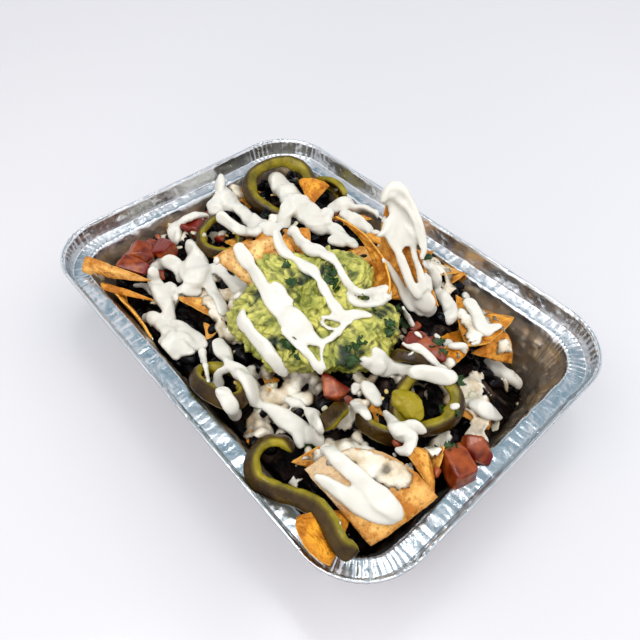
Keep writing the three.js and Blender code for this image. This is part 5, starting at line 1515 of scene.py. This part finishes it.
# The strokes that hang on the tall chip.
CREAM_ON_TALL_CHIP = [
    [[8.5, 34.5, 80, 1.8], [9.5, 32.5, 78, 1.8], [9.5, 29.5, 76, 1.4]],
    [[8.5, 38, 82.5, 1.7], [10.5, 35.5, 79.5, 2.2], [11.5, 33, 77, 2.1], [14.5, 32.5, 74, 2],
     [19, 32, 70.5, 1.8], [23, 31.5, 66.5, 1.8], [27, 30.5, 63, 1.9], [30, 30, 60, 2],
     [33.5, 30.5, 57.5, 2]],
    [[7, 38, 84, 1.5], [10.5, 38, 81, 2], [13.5, 37, 78, 2.3], [15.5, 35.5, 75.5, 2.1],
     [18, 34.5, 72.5, 1.5]],
    [[9, 40.5, 84, 1.7], [12.5, 41, 81.5, 2.1], [16, 40.5, 78.5, 2.1], [19.5, 40, 75.5, 2],
     [21.5, 38, 72, 1.5], [24.5, 36.5, 69, 1.4], [27.5, 36, 66, 1.4], [31, 34.5, 62.5, 1.6],
     [33.5, 33, 59.5, 1.7]],
    [[14, 40.5, 80, 1.9], [17.5, 39, 76.5, 1.9], [19.5, 37, 73.5, 1.3]],
    [[2.5, 37, 87, 1.5], [4.5, 38.5, 86, 1.7], [7, 39.5, 85, 1.5]],
    # its rolled edge
    [[3.5, 36, 88, 1.9], [2.5, 38, 90, 2.4], [3, 40.5, 91.5, 2.5], [5.5, 43, 91.5, 2.6],
     [8.5, 44.5, 90, 2.4], [12.5, 44.5, 87, 2.2], [16, 44, 84, 2.1], [20, 43, 80.5, 2], [23, 42, 76.5, 1.8],
     [25.5, 40.5, 73.5, 1.6], [27, 37.5, 71, 1.3]],
    [[3.5, 36.5, 88.5, 1.9], [4.5, 39.5, 89.5, 2.1], [7.5, 41.5, 89, 2.3], [11, 42, 86.5, 2.2],
     [15, 42, 83.5, 2.1], [18.5, 41.5, 80, 1.9], [21.5, 40.5, 77, 1.8], [24.5, 39.5, 74, 1.5]],
]
CREAM_FLATNESS = 0.6  # half height over half width of a thin stroke
CREAM_THICKEST = 2.2  # mm of half height that a wide stroke comes near to
CREAM_STEEPEST = 1.3  # rise over run of the steepest slope that a ball is laid on
CREAM_BRIDGES = 4  # mm that cream may hang over a gap
CREAM_VOXEL = 0.7  # mm


def flat_ball(rows=9, columns=14, squareness=0.6):
    """A ball pressed flat above and below: its distance from the axis and its height are raised to a
    power."""
    points, faces = unit_ball(rows, columns)
    radius = np.maximum(np.linalg.norm(points[:, :2], axis=1, keepdims=True), 1e-6)
    flat = points[:, :2] * radius ** (squareness - 1)
    return np.concatenate([flat, power(points[:, 2:], squareness)], 1), faces


def facing_up_from(cells, x, y):
    """Turning matrices that lay a disc on the map's slope: their third column is the slope's normal."""
    slope_x, slope_y = (np.clip(slope, -CREAM_STEEPEST, CREAM_STEEPEST) for slope in np.gradient(cells))
    normal = unit(np.stack([-height_at(slope_x, x, y), -height_at(slope_y, x, y), np.ones(len(x))], -1))
    first = unit(np.cross((0.0, 1.0, 0.0), normal))
    return np.stack([first, np.cross(normal, first), normal], -1)


def ball_chain(strokes, cells, highest=None, spacing=0.33, wobble=0.22):
    """Rows of flat balls along smooth paths, laid on the map's slopes. Each ball has the stroke's half
    width w, a little more or less as it goes on. Its half height grows with w but never over a limit t:
    t (1 - exp(-f w / t)), f being the flatness. Where there is a map of the highest places, a ball that
    would hang far above it comes down."""
    path = np.concatenate([even_path(places, min(p[3] for p in places) * spacing) for places in strokes])
    if highest is not None:
        lid = height_at(highest, path[:, 0], path[:, 1]) + CREAM_BRIDGES
        path[:, 2] = np.minimum(path[:, 2], lid)
    path[:, 3] *= 1.06 + wobble * noise(path[:, :3], 4.5, 71)
    half_height = CREAM_THICKEST * (1 - np.exp(-CREAM_FLATNESS * path[:, 3] / CREAM_THICKEST))
    sizes = np.stack([path[:, 3], path[:, 3], half_height], -1)
    turns = facing_up_from(cells, path[:, 0], path[:, 1])
    return scattered(flat_ball(), path[:, :3], sizes, turns), len(path)


# %% Sour cream
# Thick and white with a trace of yellow, smooth and wet, and light goes well into it.
cream_white, add, shader, place = new_material("sour_cream")
fine = add("TexNoise", {"Vector": place, "Scale": grains(3), "Detail": 2})
fine_bump = add("Bump", {"Strength": 0.12, "Distance": 0.001, "Height": fine})
fill_inputs(shader, {"Normal": fine_bump, "Base Color": colour("#d2cfc5"), "Roughness": 0.3,
                     "Subsurface Weight": 0.5, "Subsurface Radius": (1.0, 0.9, 0.75),
                     "Subsurface Scale": 0.002})

# %% The poured cream
food_heights = height_map([piece for piece in made if piece is not tray])
under_cream = softened(food_heights, 3)
top_of_food = neighbours(food_heights).max(0)
laid, laid_count = ball_chain(CREAM, under_cream, top_of_food)
hung, hung_count = ball_chain(CREAM_ON_TALL_CHIP, under_cream)
chain, ball_count = joined([laid, hung]), laid_count + hung_count
cream_nodes = sorted(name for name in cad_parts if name.startswith("cream_"))
cream = make_piece("poured_sour_cream", chain, cream_white, cream_nodes, "sour_cream")
with_modifiers(cream, ("REMESH", {"mode": "VOXEL", "voxel_size": CREAM_VOXEL * MM,
                                  "use_smooth_shade": True}),
               ("SMOOTH", {"factor": 0.5, "iterations": 3}))
print("sour cream:", ball_count, "balls,", triangle_count(cream), "triangles")

# %% [markdown]
# ## Small toppings
# Chopped onion, bits of tomato, jalapeno seeds and torn coriander lie wherever they fell. Each kind
# is one mesh of many copies. They are seated on the map of heights of all the food but the cream.

# %% Helpers for sprinkling
surface = height_map([piece for piece in made if piece not in (tray, cream)])
rng = np.random.default_rng(29)
soft_dice = unit_ball(7, 10, 0.5)


def sprinkle(count, rng, middles, spread):
    """Places round some middles, at random distances of about the spread, kept inside the tray."""
    middles = np.array(middles, float)
    chosen = middles[rng.integers(0, len(middles), count)]
    x, y = (chosen + rng.normal(0, spread, (count, 2))).T
    bed = bed_height(x, y)
    keep = inside_tray(x, y, bed, 3) & (height_at(surface, x, y) < bed + 7)
    return x[keep], y[keep]


def seated(shape, cells, x, y, lift, sizes, tilt, rng):
    """Copies of a shape whose middles are at the height of the map plus a lift, turned at random."""
    z = height_at(cells, x, y) + lift
    return scattered(shape, np.stack([x, y, z], -1), sizes, random_turns(len(x), rng, tilt))


# %% Chopped onion
# Clear white and wet.
chopped_onion, add, shader, place = new_material("chopped_onion")
layers = add("TexNoise", {"Vector": place, "Scale": grains(1.5), "Detail": 2})
onion_colour = add("Mix", {"Factor": layers, 6: colour("#a8a489"), 7: colour("#d8d4c2")}, data_type="RGBA")
fill_inputs(shader, {"Base Color": onion_colour, "Roughness": 0.2, "Subsurface Weight": 0.6,
                     "Subsurface Radius": (1.0, 1.0, 0.8), "Subsurface Scale": 0.002})

ONION_PLACES = [(-50, 24), (-60, 34), (-78, -30), (-70, -12), (76, 18), (80, 10), (50, -36), (30, -40),
                (62, 16), (0, 55), (30, 52), (-30, 45), (-88, 14)]
x, y = sprinkle(60, rng, ONION_PLACES, 6)
onion_half = rng.uniform(0.9, 1.9, (len(x), 3)) * (1.3, 1, 0.6)
onions = seated(soft_dice, surface, x, y, -0.7, onion_half, 0.8, rng)
make_piece("onion_dice", onions, chopped_onion, slot="onion")
print("onion dice:", len(x))

# %% Tomato bits
TOMATO_PLACES = [(-84, -20), (-86, -32), (-72, -28), (-70, -40), (-84, 0), (-60, -14), (60, 16), (46, 10),
                 (90, -20), (41, -24), (10, 52), (-40, 50)]
x, y = sprinkle(70, rng, TOMATO_PLACES, 5)
bit_half = rng.uniform(1.3, 3.2, (len(x), 3)) * (1.2, 1, 0.7)
bits = seated(soft_dice, surface, x, y, -0.9, bit_half, 0.9, rng)
skin_values = np.tile(soft_dice[0][:, 0] > 0.6, len(x))
make_piece("tomato_bits", bits, ripe_tomato, slot="tomato", skin=skin_values)
print("tomato bits:", len(x))

# %% Jalapeno seeds
# Pale straw, flat and smooth.
pepper_seed, add, shader, place = new_material("jalapeno_seed")
seed_noise = add("TexNoise", {"Vector": place, "Scale": grains(1), "Detail": 2})
seed_colour = add("Mix", {"Factor": seed_noise, 6: colour("#b99a4a"), 7: colour("#ead9a0")},
                  data_type="RGBA")
fill_inputs(shader, {"Base Color": seed_colour, "Roughness": 0.3})
SEED_PLACES = [(66, -6), (60, -16), (9, -56), (-66, -2), (-73, 42), (70, 2), (-78, -36)]
SEED_HALF = (1.2, 0.95, 0.4)  # mm
x, y = sprinkle(28, rng, SEED_PLACES, 6)
seeds = seated(unit_ball(4, 8), surface, x, y, 0.1, SEED_HALF, 0.5, rng)
make_piece("jalapeno_seeds", seeds, pepper_seed, slot="jalapeno")
print("jalapeno seeds:", len(x))

# %% [markdown]
# ## Coriander
# A coriander leaf is thin and lobed like a small fan. One leaf is a grid: along it from stalk to tip,
# across it from edge to edge, with a width that swells and shrinks to make the lobes. Copies are
# bent by their own turning and lie in small bunches.

# %% Coriander leaves


def leaf_shape(rows=9, columns=7):
    """Along the leaf t goes from 0 to 1. Its half width is sin(pi t)^0.6 times 0.45 + 0.16 cos(6 pi t). It
    is cupped: the height is 0.9 y^2, less a droop of 0.35 t^2, plus a small wave."""
    t = np.linspace(0.02, 0.98, rows)[:, None]
    across = np.linspace(-1, 1, columns)[None]
    half_width = np.sin(np.pi * t) ** 0.6 * (0.45 + 0.16 * np.cos(6 * np.pi * t))
    x, y = t + 0 * across, across * half_width
    z = 0.9 * y ** 2 - 0.35 * t ** 2 + 0.05 * np.sin(9 * t + 3 * across)
    return np.stack([x, y, z], -1).reshape(-1, 3), [grid_faces(rows, columns, wrap=False)]


# %% Coriander leaf
# Deep fresh green, a little shiny.
coriander_leaf, add, shader, place = new_material("coriander_leaf")
leaf_noise = add("TexNoise", {"Vector": place, "Scale": grains(2), "Detail": 3})
leaf_colour = add("Mix", {"Factor": leaf_noise, 6: colour("#0c1f08"), 7: colour("#2f5219")},
                  data_type="RGBA")
fill_inputs(shader, {"Base Color": leaf_colour, "Roughness": 0.35})

# %% The bunches
# Middles of the bunches, and how many leaves each has.
BUNCHES = [(73, 9, 6), (89, -10, 5), (14, 0, 6), (38, 6, 7), (42, -14, 5), (-40, -16, 4), (-52, -28, 4),
           (-46, -34, 4), (34, 18, 4), (37, -12, 3), (57, 14, 3), (22, -30, 4), (6, 2, 4), (26, 4, 4),
           (-60, 20, 3), (20, 56, 3), (-20, 50, 3), (78, -2, 3), (48, -46, 2), (-2, -10, 3), (16, -34, 3),
           (-84, -4, 3)]
bunch = np.repeat(np.arange(len(BUNCHES)), [b[2] for b in BUNCHES])
x, y = (np.array(BUNCHES, float)[bunch, :2] + rng.normal(0, 2.2, (len(bunch), 2))).T
leaf_size = rng.uniform(2.4, 5.2, len(x))[:, None] * (1, 1, 1)
leaves = seated(leaf_shape(), surface, x, y, 0.1, leaf_size, 0.6, rng)
herb = make_piece("coriander_leaves", leaves, coriander_leaf, slot="coriander")
LEAF_THICKNESS = 0.25  # mm
with_modifiers(herb, ("SOLIDIFY", {"thickness": LEAF_THICKNESS * MM, "offset": 0}))
print("coriander leaves:", len(x))

# %% Size of the finished model
print("pieces:", len(made), "triangles:", sum(triangle_count(piece) for piece in made))
